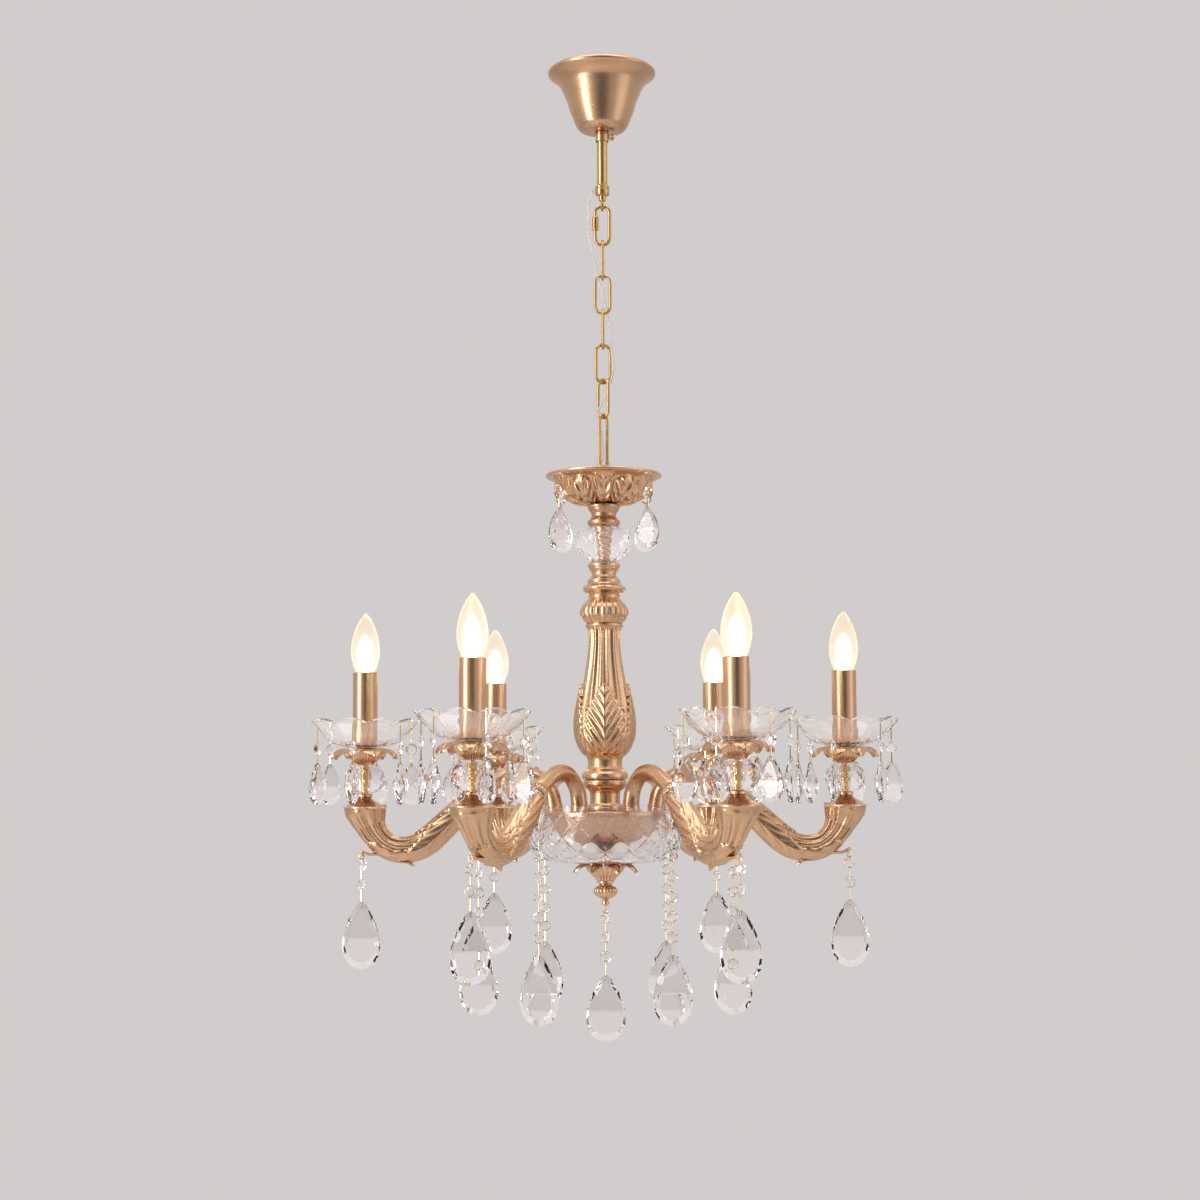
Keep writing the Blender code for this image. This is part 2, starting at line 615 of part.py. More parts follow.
def arm_pieces():
    """The six arms, and on each its crystal ball, lamp, glass dish, bulb and hanging string."""
    hook_x, hook_z = ARM_HOOK
    pivot_z = hook_z - HOOK_RING_R
    arm = arm_mesh()
    dish = bobeche_mesh()
    for number in range(ARM_COUNT):
        degrees = 360.0 * number / ARM_COUNT
        label = number + 1
        at_lamp = turn_about_axis(degrees, LAMP_RADIUS)
        finish(f"arm_{label}", arm.copy(), CAST, turn_about_axis(degrees))
        turned(f"ball_{label}", [
            (10.0, BALL_TOP_Z), (18.6, -838.6), (23.0, -847.0), (23.0, -855.0),
            (18.6, -863.6), (10.0, ARM_TOP_Z + GAP), (5.6, ARM_TOP_Z + GAP),
            (5.6, BALL_TOP_Z)], CRYSTAL, 8, place=at_lamp)
        turned(f"lamp_stack_{label}", lamp_profile(), SATIN, 12, ring=False, place=at_lamp)
        finish(f"bobeche_{label}", dish.copy(), CRYSTAL, at_lamp)
        turned(f"bulb_{label}", bulb_profile(), GLOW_GLASS, 10, ring=False, place=at_lamp)
        string = string_mesh(hook_z, (-950.0, -972.4), -992.0, -1070.0, 22.5, degrees)
        angle = math.radians(degrees)
        string.transform(turn_about_axis(degrees, hook_x) @ turn_about_axis(-degrees))
        pivoted(f"arm_pendant_{label}", string, CRYSTAL, hook_x * math.cos(angle),
                hook_x * math.sin(angle), pivot_z)


def centre_piece():
    """The string below the finial."""
    string = string_mesh(-1001.2, (-1012.6, -1034.6, -1056.6), -1077.0, -1153.6, 23.0, 0.0)
    pivoted("centre_pendant", string, CRYSTAL, 0.0, 0.0, -1001.2 - HOOK_RING_R)


ceiling_pieces()
chain_pieces()
crown_pieces()
column_pieces()
arm_pieces()
centre_piece()
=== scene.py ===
# %% [markdown]
# # A six-arm crystal chandelier
# The real fixture is brass with a brushed rose gold lacquer, cut crystal and six flame
# bulbs. Its parts were first made as solids, so that hinges and slides have true places.
# This lesson dresses that fixed frame: every solid is replaced by a finer shape with a
# procedural finish, in the same place, and rides on the same moving body.

# %% Load the fixed frame
import math

import bmesh
import bpy
import numpy as np
from mathutils import Matrix, Vector


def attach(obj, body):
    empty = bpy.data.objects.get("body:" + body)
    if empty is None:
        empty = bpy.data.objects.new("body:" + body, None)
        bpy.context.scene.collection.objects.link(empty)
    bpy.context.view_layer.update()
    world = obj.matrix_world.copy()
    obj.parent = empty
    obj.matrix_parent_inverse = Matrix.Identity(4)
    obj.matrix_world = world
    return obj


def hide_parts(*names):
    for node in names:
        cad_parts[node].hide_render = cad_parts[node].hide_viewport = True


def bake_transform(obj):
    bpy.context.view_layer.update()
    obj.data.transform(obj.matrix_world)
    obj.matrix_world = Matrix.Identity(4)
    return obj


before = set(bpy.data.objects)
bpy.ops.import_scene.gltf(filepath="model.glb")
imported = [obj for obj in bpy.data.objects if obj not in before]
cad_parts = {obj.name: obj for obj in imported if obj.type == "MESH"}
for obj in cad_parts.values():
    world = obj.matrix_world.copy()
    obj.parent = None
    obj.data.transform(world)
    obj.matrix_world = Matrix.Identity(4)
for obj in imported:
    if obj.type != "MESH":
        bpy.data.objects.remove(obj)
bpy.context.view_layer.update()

# %% [markdown]
# ## The camera
# A catalogue view: level with the lamps, far enough away that a long lens keeps the arms
# from spreading, and tilted up a little so that the canopy stays in the frame. A quarter
# degree of roll matches the way the fixture hangs. It could be aimed with a Track To
# constraint, but a plain matrix is easier to read back.

# %% Camera
MM = 0.001
EYE_PLACE = (0.0, -2.552, -0.8856)
EYE_TILT = 90.0 + 5.44
EYE_ROLL = -0.27
LENS_LONG, LENS_SHIFT = 65.49, -0.0035


def add_camera():
    """The only camera, with its place given by one matrix."""
    lens = bpy.data.cameras.new("camera")
    lens.sensor_width = 36.0
    lens.lens = LENS_LONG
    lens.shift_x = LENS_SHIFT
    lens.clip_start = 0.05
    camera = bpy.data.objects.new("camera", lens)
    bpy.context.scene.collection.objects.link(camera)
    tilt = Matrix.Rotation(math.radians(EYE_TILT), 4, "X")
    roll = Matrix.Rotation(math.radians(EYE_ROLL), 4, "Z")
    camera.matrix_world = Matrix.Translation(EYE_PLACE) @ tilt @ roll
    bpy.context.scene.camera = camera
    print("lens:", lens.lens, "mm")


add_camera()

# %% [markdown]
# ## Building surfaces from rows
# Nearly every piece here is a skin over rows of points: a turned piece is one profile
# repeated round the axis, a wire is a circle repeated along a line. A Screw or a curve
# bevel would make the same forms, but rows let a carved relief move each point before
# the faces are made. Profiles are in millimetres, as a maker would write them.

# %% Skins, turnings and wires
TAU = math.tau


def skin(rows, ring=False, fan=False):
    """A closed mesh over rows of points, each row closing on itself. ring joins the last
    row to the first; otherwise both ends are capped. fan splits faces for rows that stand
    half a step apart."""
    points, starts = [], []
    for row in rows:
        starts.append(len(points))
        points.extend(row)
    pairs = list(zip(range(len(rows) - 1), range(1, len(rows))))
    if ring:
        pairs.append((len(rows) - 1, 0))
    faces = []
    for a, b in pairs:
        count_a, count_b = len(rows[a]), len(rows[b])
        for i in range(max(count_a, count_b)):
            here_a, next_a = starts[a] + i % count_a, starts[a] + (i + 1) % count_a
            here_b, next_b = starts[b] + i % count_b, starts[b] + (i + 1) % count_b
            corners = list(dict.fromkeys((here_a, next_a, next_b, here_b)))
            if not fan or len(corners) < 4:
                faces.append(corners)
            elif a % 2 == 0:
                faces += [(here_a, next_a, here_b), (next_a, next_b, here_b)]
            else:
                faces += [(here_a, next_b, here_b), (here_a, next_a, next_b)]
    if not ring:
        for k in (0, len(rows) - 1):
            if len(rows[k]) > 2:
                faces.append([starts[k] + i for i in range(len(rows[k]))])
    mesh = bpy.data.meshes.new("form")
    mesh.from_pydata([tuple(MM * value for value in point) for point in points], [], faces)
    work = bmesh.new()
    work.from_mesh(mesh)
    bmesh.ops.recalc_face_normals(work, faces=work.faces)
    work.to_mesh(mesh)
    work.free()
    return mesh


def turned_rows(profile, steps, relief=None):
    """The profile's points carried round Z. relief gives each point a new (r, z)."""
    rows = []
    for r, z in profile:
        if r < 0.01:
            rows.append([(0.0, 0.0, z)])
            continue
        row = []
        for i in range(steps):
            angle = TAU * i / steps
            out, height = relief(angle, r, z) if relief else (r, z)
            row.append((out * math.cos(angle), out * math.sin(angle), height))
        rows.append(row)
    return rows


def curve_point(a, b, c, d, t):
    """A point a share t of the way from b to c, on a smooth curve through all four."""
    return 0.5 * (2 * b + (c - a) * t + (2 * a - 5 * b + 4 * c - d) * t ** 2
                  + (3 * b - a - 3 * c + d) * t ** 3)


def smooth(points, spacing):
    """Points at even steps along a smooth curve through the given ones."""
    knots = [Vector(point) for point in points]
    knots = [2 * knots[0] - knots[1]] + knots + [2 * knots[-1] - knots[-2]]
    line = []
    for a, b, c, d in zip(knots, knots[1:], knots[2:], knots[3:]):
        steps = max(1, round((c - b).length / spacing))
        for i in range(steps):
            line.append(tuple(curve_point(a, b, c, d, i / steps)))
    return line + [tuple(knots[-2])]


def eased(points, reach, spacing=4.0):
    """A profile whose corners are rounded over a short reach, as a polisher leaves them."""
    knots = [Vector(point) for point in points]
    line = [knots[0]]
    for before, corner, after in zip(knots, knots[1:], knots[2:]):
        start = corner.lerp(before, min(0.45, reach / max((before - corner).length, 1e-6)))
        end = corner.lerp(after, min(0.45, reach / max((after - corner).length, 1e-6)))
        for t in (0.0, 0.33, 0.67, 1.0):
            line.append(start.lerp(corner, t).lerp(corner.lerp(end, t), t))
    line.append(knots[-1])
    filled = [line[0]]
    for here, there in zip(line, line[1:]):
        steps = max(1, math.ceil((there - here).length / spacing))
        filled += [here.lerp(there, (i + 1) / steps) for i in range(steps)]
    return [tuple(point) for point in filled]


def wire(points, radii, sides=10, closed=False):
    """A round wire whose rings turn as little as they can from one to the next."""
    line = [Vector(point) for point in points]
    count = len(line)
    rows, side = [], None
    for i, here in enumerate(line):
        before = line[i - 1] if i or closed else here
        after = line[(i + 1) % count] if i < count - 1 or closed else here
        along = (after - before).normalized()
        if side is None:
            side = along.orthogonal().normalized()
        side = (side - along * side.dot(along)).normalized()
        up = along.cross(side)
        reach = radii[i] if hasattr(radii, "__len__") else radii
        rows.append([tuple(here + reach * (side * math.cos(TAU * k / sides)
                                           + up * math.sin(TAU * k / sides)))
                     for k in range(sides)])
    if closed:
        turn = min(range(sides), key=lambda k: (Vector(rows[-1][0]) - Vector(rows[0][k])).length)
        rows.append(rows[0][turn:] + rows[0][:turn])
        mesh = skin(rows)
        work = bmesh.new()
        work.from_mesh(mesh)
        ends = [face for face in work.faces if len(face.verts) > 4]
        bmesh.ops.delete(work, geom=ends, context="FACES_ONLY")
        bmesh.ops.remove_doubles(work, verts=work.verts, dist=0.00002)
        work.to_mesh(mesh)
        work.free()
        return mesh
    return skin(rows)


def gathered(parts):
    """One mesh of several: each part is (mesh, finish number) or (mesh, number, place)."""
    work = bmesh.new()
    for mesh, number, *place in parts:
        before = len(work.faces)
        if place:
            mesh = mesh.copy()
            mesh.transform(place[0])
        work.from_mesh(mesh)
        work.faces.ensure_lookup_table()
        for face in work.faces[before:]:
            face.material_index = number
    whole = bpy.data.meshes.new("gathered")
    work.to_mesh(whole)
    work.free()
    return whole


def turned_by(degrees):
    """A turn about the upright axis."""
    return Matrix.Rotation(math.radians(degrees), 4, "Z")


def at(x=0.0, turn=0.0):
    """A place x millimetres along X, turned about its own upright axis in degrees."""
    return Matrix.Translation((x * MM, 0.0, 0.0)) @ turned_by(turn)


def round_axis(degrees, x=0.0):
    """A place x out from the fixture's axis, turned round that axis."""
    return turned_by(degrees) @ at(x)


print("helpers ready")

# %% [markdown]
# ## Painted shade and highlight on a casting
# The castings are painted darker in their hollows, as painted shade, and brighter on their
# ridges, as painted highlight. Blender can find this with Pointiness or ambient occlusion
# while it renders. Here the bend of the surface is measured once from the mesh and kept as
# an attribute, so the finish can read it at any size of picture.

# %% Hollows and placing a piece
# the bend at which the painted shade in hollows, or the painted highlight on ridges, is full
FULL_BEND = 650.0


def mark_painted_relief_shade(mesh):
    """Store, per point, a mask for painted light: 0 for a ridge (painted highlight), 0.5 for flat
    and 1 at the floor of a dip (painted shade).
    """
    count = len(mesh.vertices)
    places = np.empty(count * 3)
    mesh.vertices.foreach_get("co", places)
    places = places.reshape(-1, 3)
    normals = np.empty(count * 3)
    mesh.vertices.foreach_get("normal", normals)
    normals = normals.reshape(-1, 3)
    ends = np.empty(len(mesh.edges) * 2, int)
    mesh.edges.foreach_get("vertices", ends)
    a, b = ends.reshape(-1, 2).T
    apart = places[b] - places[a]
    span = np.maximum((apart ** 2).sum(1), 1e-10)
    bend = np.bincount(a, (apart * normals[a]).sum(1) / span, count)
    bend -= np.bincount(b, (apart * normals[b]).sum(1) / span, count)
    meeting = np.maximum(np.bincount(a, minlength=count) + np.bincount(b, minlength=count), 1)
    bend /= meeting
    for _ in range(3):
        near = np.bincount(a, bend[b], count) + np.bincount(b, bend[a], count)
        bend = 0.5 * bend + 0.5 * near / meeting
    value = np.clip(0.5 + bend / (2 * FULL_BEND), 0.0, 1.0)
    mesh.attributes.new("hollow_shade", "FLOAT", "POINT").data.foreach_set(
        "value", value.astype(np.float32))


def show(name, mesh, body, finishes, node=None, place=None, crease=32.0):
    """Put a piece in the scene on its moving body, in place of its solid."""
    if not mesh.materials:
        for finish in finishes:
            mesh.materials.append(finish)
        mesh.shade_smooth()
        mesh.set_sharp_from_angle(angle=math.radians(crease))
        mark_painted_relief_shade(mesh)
    piece = bpy.data.objects.new(name, mesh)
    bpy.context.scene.collection.objects.link(piece)
    if place is not None:
        piece.matrix_world = place
    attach(piece, body)
    if node:
        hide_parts(node)
    return piece


def show_six(name, mesh, body, finishes, node, x=0.0, crease=50.0):
    """Show a mesh six times round the fixture. A # in a name stands for its number."""
    for number in range(6):
        name_here, body_here, node_here = (
            text.replace("#", str(number + 1)) for text in (name, body, node))
        show(name_here, mesh, body_here, finishes, node_here,
             place=round_axis(60.0 * number, x), crease=crease)


# %% [markdown]
# ## Helpers for finishes
# Each finish is a Principled shader whose roughness, bump and tint come from noise in the
# piece's own space; only the cast gold takes its tint from the bend of the mesh, as painted
# shade and painted highlight. Numbers that are the same all over are typed into the shader itself.

# %% Finish helpers
def new_finish(name, **values):
    """A material with its constant values set on the shader's own sockets."""
    made = bpy.data.materials.new(name)
    made.use_nodes = True
    shader = made.node_tree.nodes["Principled BSDF"]
    for socket, value in values.items():
        shader.inputs[socket.replace("_", " ")].default_value = value
    return made


def node(made, kind, **inputs):
    """A node with some of its inputs filled in."""
    found = made.node_tree.nodes.new("ShaderNode" + kind)
    for socket, value in inputs.items():
        found.inputs[socket.replace("_", " ")].default_value = value
    return found


def grain(made, scale, stretch=(1.0, 1.0, 1.0), detail=3.0):
    """Noise in the piece's own space, drawn out along an axis if asked."""
    where = node(made, "TexCoord")
    spread = node(made, "Mapping", Scale=stretch)
    noise = node(made, "TexNoise", Scale=scale, Detail=detail)
    made.node_tree.links.new(where.outputs["Object"], spread.inputs["Vector"])
    made.node_tree.links.new(spread.outputs["Vector"], noise.inputs["Vector"])
    return noise.outputs["Fac"]


def vary(made, source, socket, low, high):
    """Let a value on the shader follow the noise between two limits."""
    ranged = node(made, "MapRange", From_Min=0.3, From_Max=0.7, To_Min=low, To_Max=high)
    shader = made.node_tree.nodes["Principled BSDF"]
    made.node_tree.links.new(source, ranged.inputs["Value"])
    made.node_tree.links.new(ranged.outputs["Result"], shader.inputs[socket])


def press(made, source, depth, strength):
    """Bump of a real depth in millimetres."""
    bump = node(made, "Bump", Strength=strength, Distance=depth * MM)
    shader = made.node_tree.nodes["Principled BSDF"]
    made.node_tree.links.new(source, bump.inputs["Height"])
    made.node_tree.links.new(bump.outputs["Normal"], shader.inputs["Normal"])


def tint(made, source, stops):
    """Colour from a ramp of (position, colour)."""
    ramp = node(made, "ValToRGB")
    bar = ramp.color_ramp.elements
    bar[0].position, bar[0].color = stops[0][0], (*stops[0][1], 1.0)
    bar[1].position, bar[1].color = stops[-1][0], (*stops[-1][1], 1.0)
    for position, colour in stops[1:-1]:
        bar.new(position).color = (*colour, 1.0)
    shader = made.node_tree.nodes["Principled BSDF"]
    made.node_tree.links.new(source, ramp.inputs["Fac"])
    made.node_tree.links.new(ramp.outputs["Color"], shader.inputs["Base Color"])


# %% [markdown]
# ## Metal finishes
# Four golds meet on this lamp. The spun canopy and the candle covers are rose gold with
# a fine upright brushing. The castings have the same lacquer, with painted shade in the
# hollows of their relief and painted highlight on its ridges. The chain and its fittings are
# a yellower polished brass, and the pins that hold the crystal are paler still. The strap in
# the canopy is plated steel and keeps its CAD shape.

# %% Gold and steel
ROSE = (0.61, 0.385, 0.235)
ROSE_WARM = (0.64, 0.405, 0.24)
# the next two are painted shade for the castings' hollows and painted highlight for their ridges
ROSE_PAINTED_SHADE = (0.20, 0.10, 0.045)
ROSE_PAINTED_HIGHLIGHT = (0.92, 0.69, 0.49)
YELLOW = (0.64, 0.42, 0.17)


def brushed_rose():
    made = new_finish("brushed_rose_gold", Metallic=1.0, Anisotropic=0.35)
    brushing = grain(made, 1500.0, (1.0, 1.0, 0.004), 2.0)
    vary(made, brushing, "Roughness", 0.22, 0.34)
    press(made, brushing, 0.004, 0.1)
    tint(made, grain(made, 60.0), [(0.3, ROSE), (0.7, (0.59, 0.365, 0.215))])
    return made


def cast_rose():
    made = new_finish("cast_rose_gold", Metallic=1.0)
    # The tint is painted light: painted highlight on ridges, the lacquer's own rose gold on flat
    # parts, painted shade in hollows.
    hollow_shade = node(made, "Attribute")
    hollow_shade.attribute_name = "hollow_shade"
    tint(made, hollow_shade.outputs["Fac"],
         [(0.26, ROSE_PAINTED_HIGHLIGHT), (0.46, ROSE_WARM), (0.56, ROSE_WARM), (0.82, ROSE_PAINTED_SHADE)])
    sand = grain(made, 900.0, detail=4.0)
    vary(made, sand, "Roughness", 0.24, 0.32)
    press(made, sand, 0.02, 0.1)
    return made


def polished_brass():
    made = new_finish("polished_brass", Metallic=1.0)
    rubbed = grain(made, 260.0)
    vary(made, rubbed, "Roughness", 0.14, 0.24)
    press(made, rubbed, 0.02, 0.1)
    tint(made, grain(made, 90.0), [(0.3, YELLOW), (0.7, (0.57, 0.36, 0.13))])
    return made


def pin_gold():
    made = new_finish("pale_gold_pin", Metallic=1.0)
    drawn = grain(made, 800.0)
    vary(made, drawn, "Roughness", 0.15, 0.28)
    tint(made, drawn, [(0.3, (0.97, 0.87, 0.58)), (0.7, (0.92, 0.79, 0.48))])
    return made


def plated_steel():
    made = new_finish("plated_steel", Metallic=1.0)
    scuffs = grain(made, 400.0, (1.0, 0.1, 1.0))
    vary(made, scuffs, "Roughness", 0.28, 0.45)
    tint(made, scuffs, [(0.3, (0.60, 0.59, 0.57)), (0.7, (0.50, 0.49, 0.47))])
    return made


BRUSHED = brushed_rose()
CAST = cast_rose()
BRASS = polished_brass()
PIN = pin_gold()
STEEL = plated_steel()
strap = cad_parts["ceiling_strap"]
strap.data.materials.clear()
strap.data.materials.append(STEEL)
print("metals ready")

# %% [markdown]
# ## Glass finishes
# The drops are pressed crystal with an index near 1.48. The dishes and the bowl are thin
# and clear: a low index keeps their steep rims from turning black, and a clear coat gives
# back the bright reflections that the low index takes away. A faint rose tint shows in
# the thick parts. The bulbs are a rougher warm glass round a bright core, and the
# roughness softens the edge of the core a little.

# %% Crystal, bulb and cable
def cut_crystal(name, colour, index=1.48, polish=0.0):
    made = new_finish(name, Transmission_Weight=1.0 - 0.08 * polish, IOR=index,
                      Coat_Weight=polish, Coat_Roughness=0.03)
    shine = grain(made, 350.0)
    vary(made, shine, "Roughness", 0.0, 0.012)
    press(made, grain(made, 120.0), 0.02, 0.08)
    tint(made, grain(made, 40.0), [(0.3, colour), (0.7, tuple(0.985 * part for part in colour))])
    return made


def bulb_glass():
    made = new_finish("warm_bulb_glass", Transmission_Weight=1.0, IOR=1.22,
                      Emission_Color=(1.0, 0.78, 0.50, 1.0), Emission_Strength=0.10)
    crackle = grain(made, 420.0, detail=5.0)
    vary(made, crackle, "Roughness", 0.45, 0.70)
    press(made, crackle, 0.25, 0.5)
    tint(made, crackle, [(0.3, (1.0, 0.95, 0.84)), (0.7, (1.0, 0.90, 0.72))])
    return made


def lit_core():
    made = new_finish("lit_core", Emission_Color=(1.0, 0.88, 0.68, 1.0), Emission_Strength=9.0)
    vary(made, grain(made, 200.0), "Roughness", 0.4, 0.6)
    return made


def clear_sheath():
    made = new_finish("clear_sheath", Transmission_Weight=0.75, IOR=1.45)
    cloud = grain(made, 300.0)
    vary(made, cloud, "Roughness", 0.12, 0.3)
    tint(made, cloud, [(0.3, (0.93, 0.90, 0.88)), (0.7, (0.86, 0.80, 0.76))])
    return made


CRYSTAL = cut_crystal("cut_crystal", (0.965, 0.93, 0.925))
DISH_GLASS = cut_crystal("pressed_dish_glass", (0.995, 0.975, 0.97), 1.14, 0.9)
BOWL_GLASS = cut_crystal("cut_bowl_glass", (0.99, 0.965, 0.96), 1.26, 0.35)
BULB_GLASS = bulb_glass()
CORE = lit_core()
SHEATH = clear_sheath()
print("glass ready")

# %% [markdown]
# ## The supply cable
# A clear twin-core cable carries the current down beside the chain. It leaves the canopy
# space, runs down the stem, comes out at its foot and weaves past the links into the
# crown. It has to bend when the chain swings, so it is cut into stretches. Each one rides
# on one body, or stays fixed in place where the body changes. End to end they are one
# cable of 0.5 m.

# %% Cable stretches
CABLE_R = 1.5
CABLE_LINE = [
    (24.0, 0.0, -12.6), (16.0, 0.0, -13.4), (8.0, 0.0, -14.0), (2.2, 0.0, -14.6),
    (0.0, 0.0, -17.8), (0.0, 0.0, -26.0), (0.0, 0.0, -80.0), (0.0, 0.0, -142.0),
    (-0.4, 0.0, -146.5), (-3.2, 0.0, -149.3), (-9.8, 0.0, -150.2), (-13.6, -1.2, -155.0),
    (-16.0, -3.0, -166.0), (-16.8, -3.4, -180.0), (-16.4, -3.4, -204.0),
    (-12.6, -3.6, -224.0), (-9.6, -4.0, -240.0), (-7.6, -4.4, -252.0),
    (-4.4, -4.8, -263.0), (-1.6, -3.4, -272.0), (0.6, 0.4, -281.0), (3.2, 4.0, -290.0),
    (5.6, 5.2, -300.0), (7.4, 4.4, -312.0), (8.2, 2.6, -326.0), (9.4, -0.6, -340.0),
    (11.6, -4.6, -354.0), (11.9, -5.0, -366.0), (11.0, -4.4, -376.0), (7.7, -1.1, -386.0),
    (4.6, 0.8, -394.0), (1.1, 1.0, -402.0), (-2.8, 0.5, -411.0), (-5.8, -0.2, -418.0),
    (-5.8, -0.2, -426.0), (-5.3, 0.1, -432.0), (-2.9, 0.5, -441.0), (-0.3, 0.3, -452.0),
    (0.0, 0.0, -478.0),
]
# the bodies that the cable passes, and the height at which each stretch ends
CABLE_ENDS = [
    ("ceiling", -152.5), ("quick_link", -200.0), ("upper_chain", -238.0),
    ("upper_chain", -363.0), ("chain_link_5", -405.0), ("fixture", -478.0)]


def add_cable():
    line = smooth(CABLE_LINE, 3.0)
    total, last, before = 0.0, 0, None
    for number, (body, end_z) in enumerate(CABLE_ENDS):
        stop = max(i for i, point in enumerate(line) if point[2] >= end_z - 1e-6)
        route = [Vector(point) for point in line[last:stop + 1]]
        length = sum((b - a).length for a, b in zip(route, route[1:])) * MM
        mesh = wire(route, CABLE_R, 12)
        mesh.materials.append(SHEATH)
        mesh.shade_smooth()
        mesh.set_sharp_from_angle(angle=math.radians(50.0))
        piece = bpy.data.objects.new(f"cable_stretch_{number}", mesh)
        bpy.context.scene.collection.objects.link(piece)
        if before in (None, body):
            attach(piece, body)
        else:
            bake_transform(piece)
        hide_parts("supply_cable")
        total, last, before = total + length, stop, body
    print("cable length:", round(total, 3), "m")


add_cable()

# %% [markdown]
# ## Canopy, collar and stem
# The canopy is spun from one disc of brass over a wooden former: a rolled lip, a short
# shoulder and a bell. A turned profile with a real wall gives the same form. A collar
# with a thumbscrew grips the stem below it.

# %% Ceiling end
def add_canopy():
    outside = smooth([
        (48.0, -0.4), (54.0, -1.5), (60.0, -3.4), (63.4, -5.2), (64.6, -7.6), (63.4, -10.0),
        (59.6, -12.8), (55.6, -16.0), (51.8, -20.4), (48.6, -26.0), (42.6, -40.0), (37.6, -55.5),
        (31.8, -70.0), (28.6, -75.2), (24.6, -78.2), (18.5, -79.3), (7.0, -79.3)], 1.6)
    inside = smooth([(7.0, -77.9), (18.0, -77.9), (28.0, -72.0), (36.2, -55.0),
                     (46.4, -27.0), (53.0, -14.0), (51.0, -5.0)], 3.0)
    mesh = skin(turned_rows(outside + inside, 160), ring=True)
    show("canopy_bell", mesh, "canopy", [BRUSHED], "canopy")
    collar = eased([(6.8, -79.6), (8.0, -79.6), (8.0, -91.5), (6.8, -91.5), (6.8, -79.6)], 0.5)
    show("collar_sleeve", skin(turned_rows(collar[:-1], 64), ring=True), "canopy", [BRUSHED],
         "canopy_collar")

    def knurl(angle, r, z):
        return (r + (0.22 * math.cos(24 * angle) if r > 2.7 else 0.0), z)

    knob = eased([(0.0, 15.4), (2.8, 15.4), (3.6, 14.4), (3.6, 9.8), (2.7, 8.7), (1.3, 8.7),
                  (1.3, 6.7), (0.0, 6.7)], 0.2, 1.0)
    screw = skin(turned_rows(knob, 96, knurl))
    lying = Matrix.Translation((0, 0, -86.0 * MM)) @ Matrix.Rotation(math.pi / 2, 4, "Y")
    screw.transform(lying)
    show("thumbscrew", screw, "collar_screw", [PIN], "collar_screw")


def ring_wire(radius, thick, centre, plane, knots=28, sides=10):
    """A wire ring that stands upright, its plane turned from +X."""
    angle = math.radians(plane)
    points = []
    for i in range(knots):
        around = TAU * i / knots
        out = radius * math.cos(around)
        points.append((centre[0] + out * math.cos(angle), centre[1] + out * math.sin(angle),
                       centre[2] + radius * math.sin(around)))
    return wire(points, thick, sides, closed=True)


def add_stem():
    rod = eased([
        (0.0, -2.8), (9.0, -2.8), (9.0, -8.0), (6.3, -8.0), (6.3, -144.6), (7.6, -145.4),
        (8.6, -146.6), (8.6, -148.4), (7.8, -149.2), (8.6, -150.2), (8.6, -155.2),
        (7.8, -157.0), (4.4, -158.0), (4.2, -163.6), (2.0, -165.0), (0.0, -165.0)], 0.4, 6.0)
    eye = ring_wire(5.2, 1.9, (0.0, 0.0, -169.3), 90.0)
    whole = gathered([(skin(turned_rows(rod, 48)), 0), (eye, 0)])
    show("stem", whole, "ceiling", [BRASS], "stem_rod")


add_canopy()
add_stem()

# %% [markdown]
# ## Chain
# Five oval links are bent from brass wire and closed, and a quick link with a screw
# sleeve joins them to the stem. An oval is two half circles with straight legs between.

# %% Links
LINK_TOPS = (-211.0, -252.8, -294.6, -336.4, -378.2)
LINK_LONG = 49.7
LINK_PLANES = (90.0, 0.0, 90.0, 20.0, 132.0)
LINK_HALF_WIDE, LINK_WIRE, QUICK_WIRE = 8.8, 1.9, 2.2


def oval(top, low, half_wide, thick, plane, steps=14):
    """The middle line of an upright oval link."""
    angle = math.radians(plane)
    points = []
    for centre_z, start in ((top - thick - half_wide, 0.0), (low + thick + half_wide, math.pi)):
        for i in range(steps + 1):
            around = start + math.pi * i / steps
            out = half_wide * math.cos(around)
            points.append((out * math.cos(angle), out * math.sin(angle),
                           centre_z + half_wide * math.sin(around)))
    return points


def add_chain():
    quick = wire(oval(-167.9, -219.5, 8.5, QUICK_WIRE, 0.0), QUICK_WIRE, 14, closed=True)
    show("quick_link_bow", quick, "quick_link", [BRASS], "quick_link", crease=60.0)
    profile = [(2.6, -182.5), (3.4, -182.5)]
    for i in range(7):
        z = -183.4 - 2.25 * i
        profile += [(3.95, z), (3.95, z - 1.5), (3.55, z - 1.8)]
    profile += [(3.4, -199.6), (2.6, -199.6)]
    sleeve = skin(turned_rows(profile, 32), ring=True)
    show("quick_link_nut", sleeve, "quick_link_sleeve", [BRASS], "quick_link_sleeve",
         place=at(-8.5))
    for i, (top, plane) in enumerate(zip(LINK_TOPS, LINK_PLANES), start=1):
        link = wire(oval(top, top - LINK_LONG, LINK_HALF_WIDE, LINK_WIRE, plane), LINK_WIRE, 14,
                    closed=True)
        body = "chain_link_5" if i == 5 else "upper_chain"
        show(f"link_{i}", link, body, [BRASS], f"chain_link_{i}", crease=60.0)


add_chain()
print("links:", len(LINK_TOPS))

# %% [markdown]
# ## The acanthus leaf
# The same carved leaf appears on the baluster, the crown and the arms. A sculptor would
# carve it once and cast it many times. Here one function gives its height at any place
# beside its midrib: a lobed outline, veins that run up and outwards, and a raised rib.

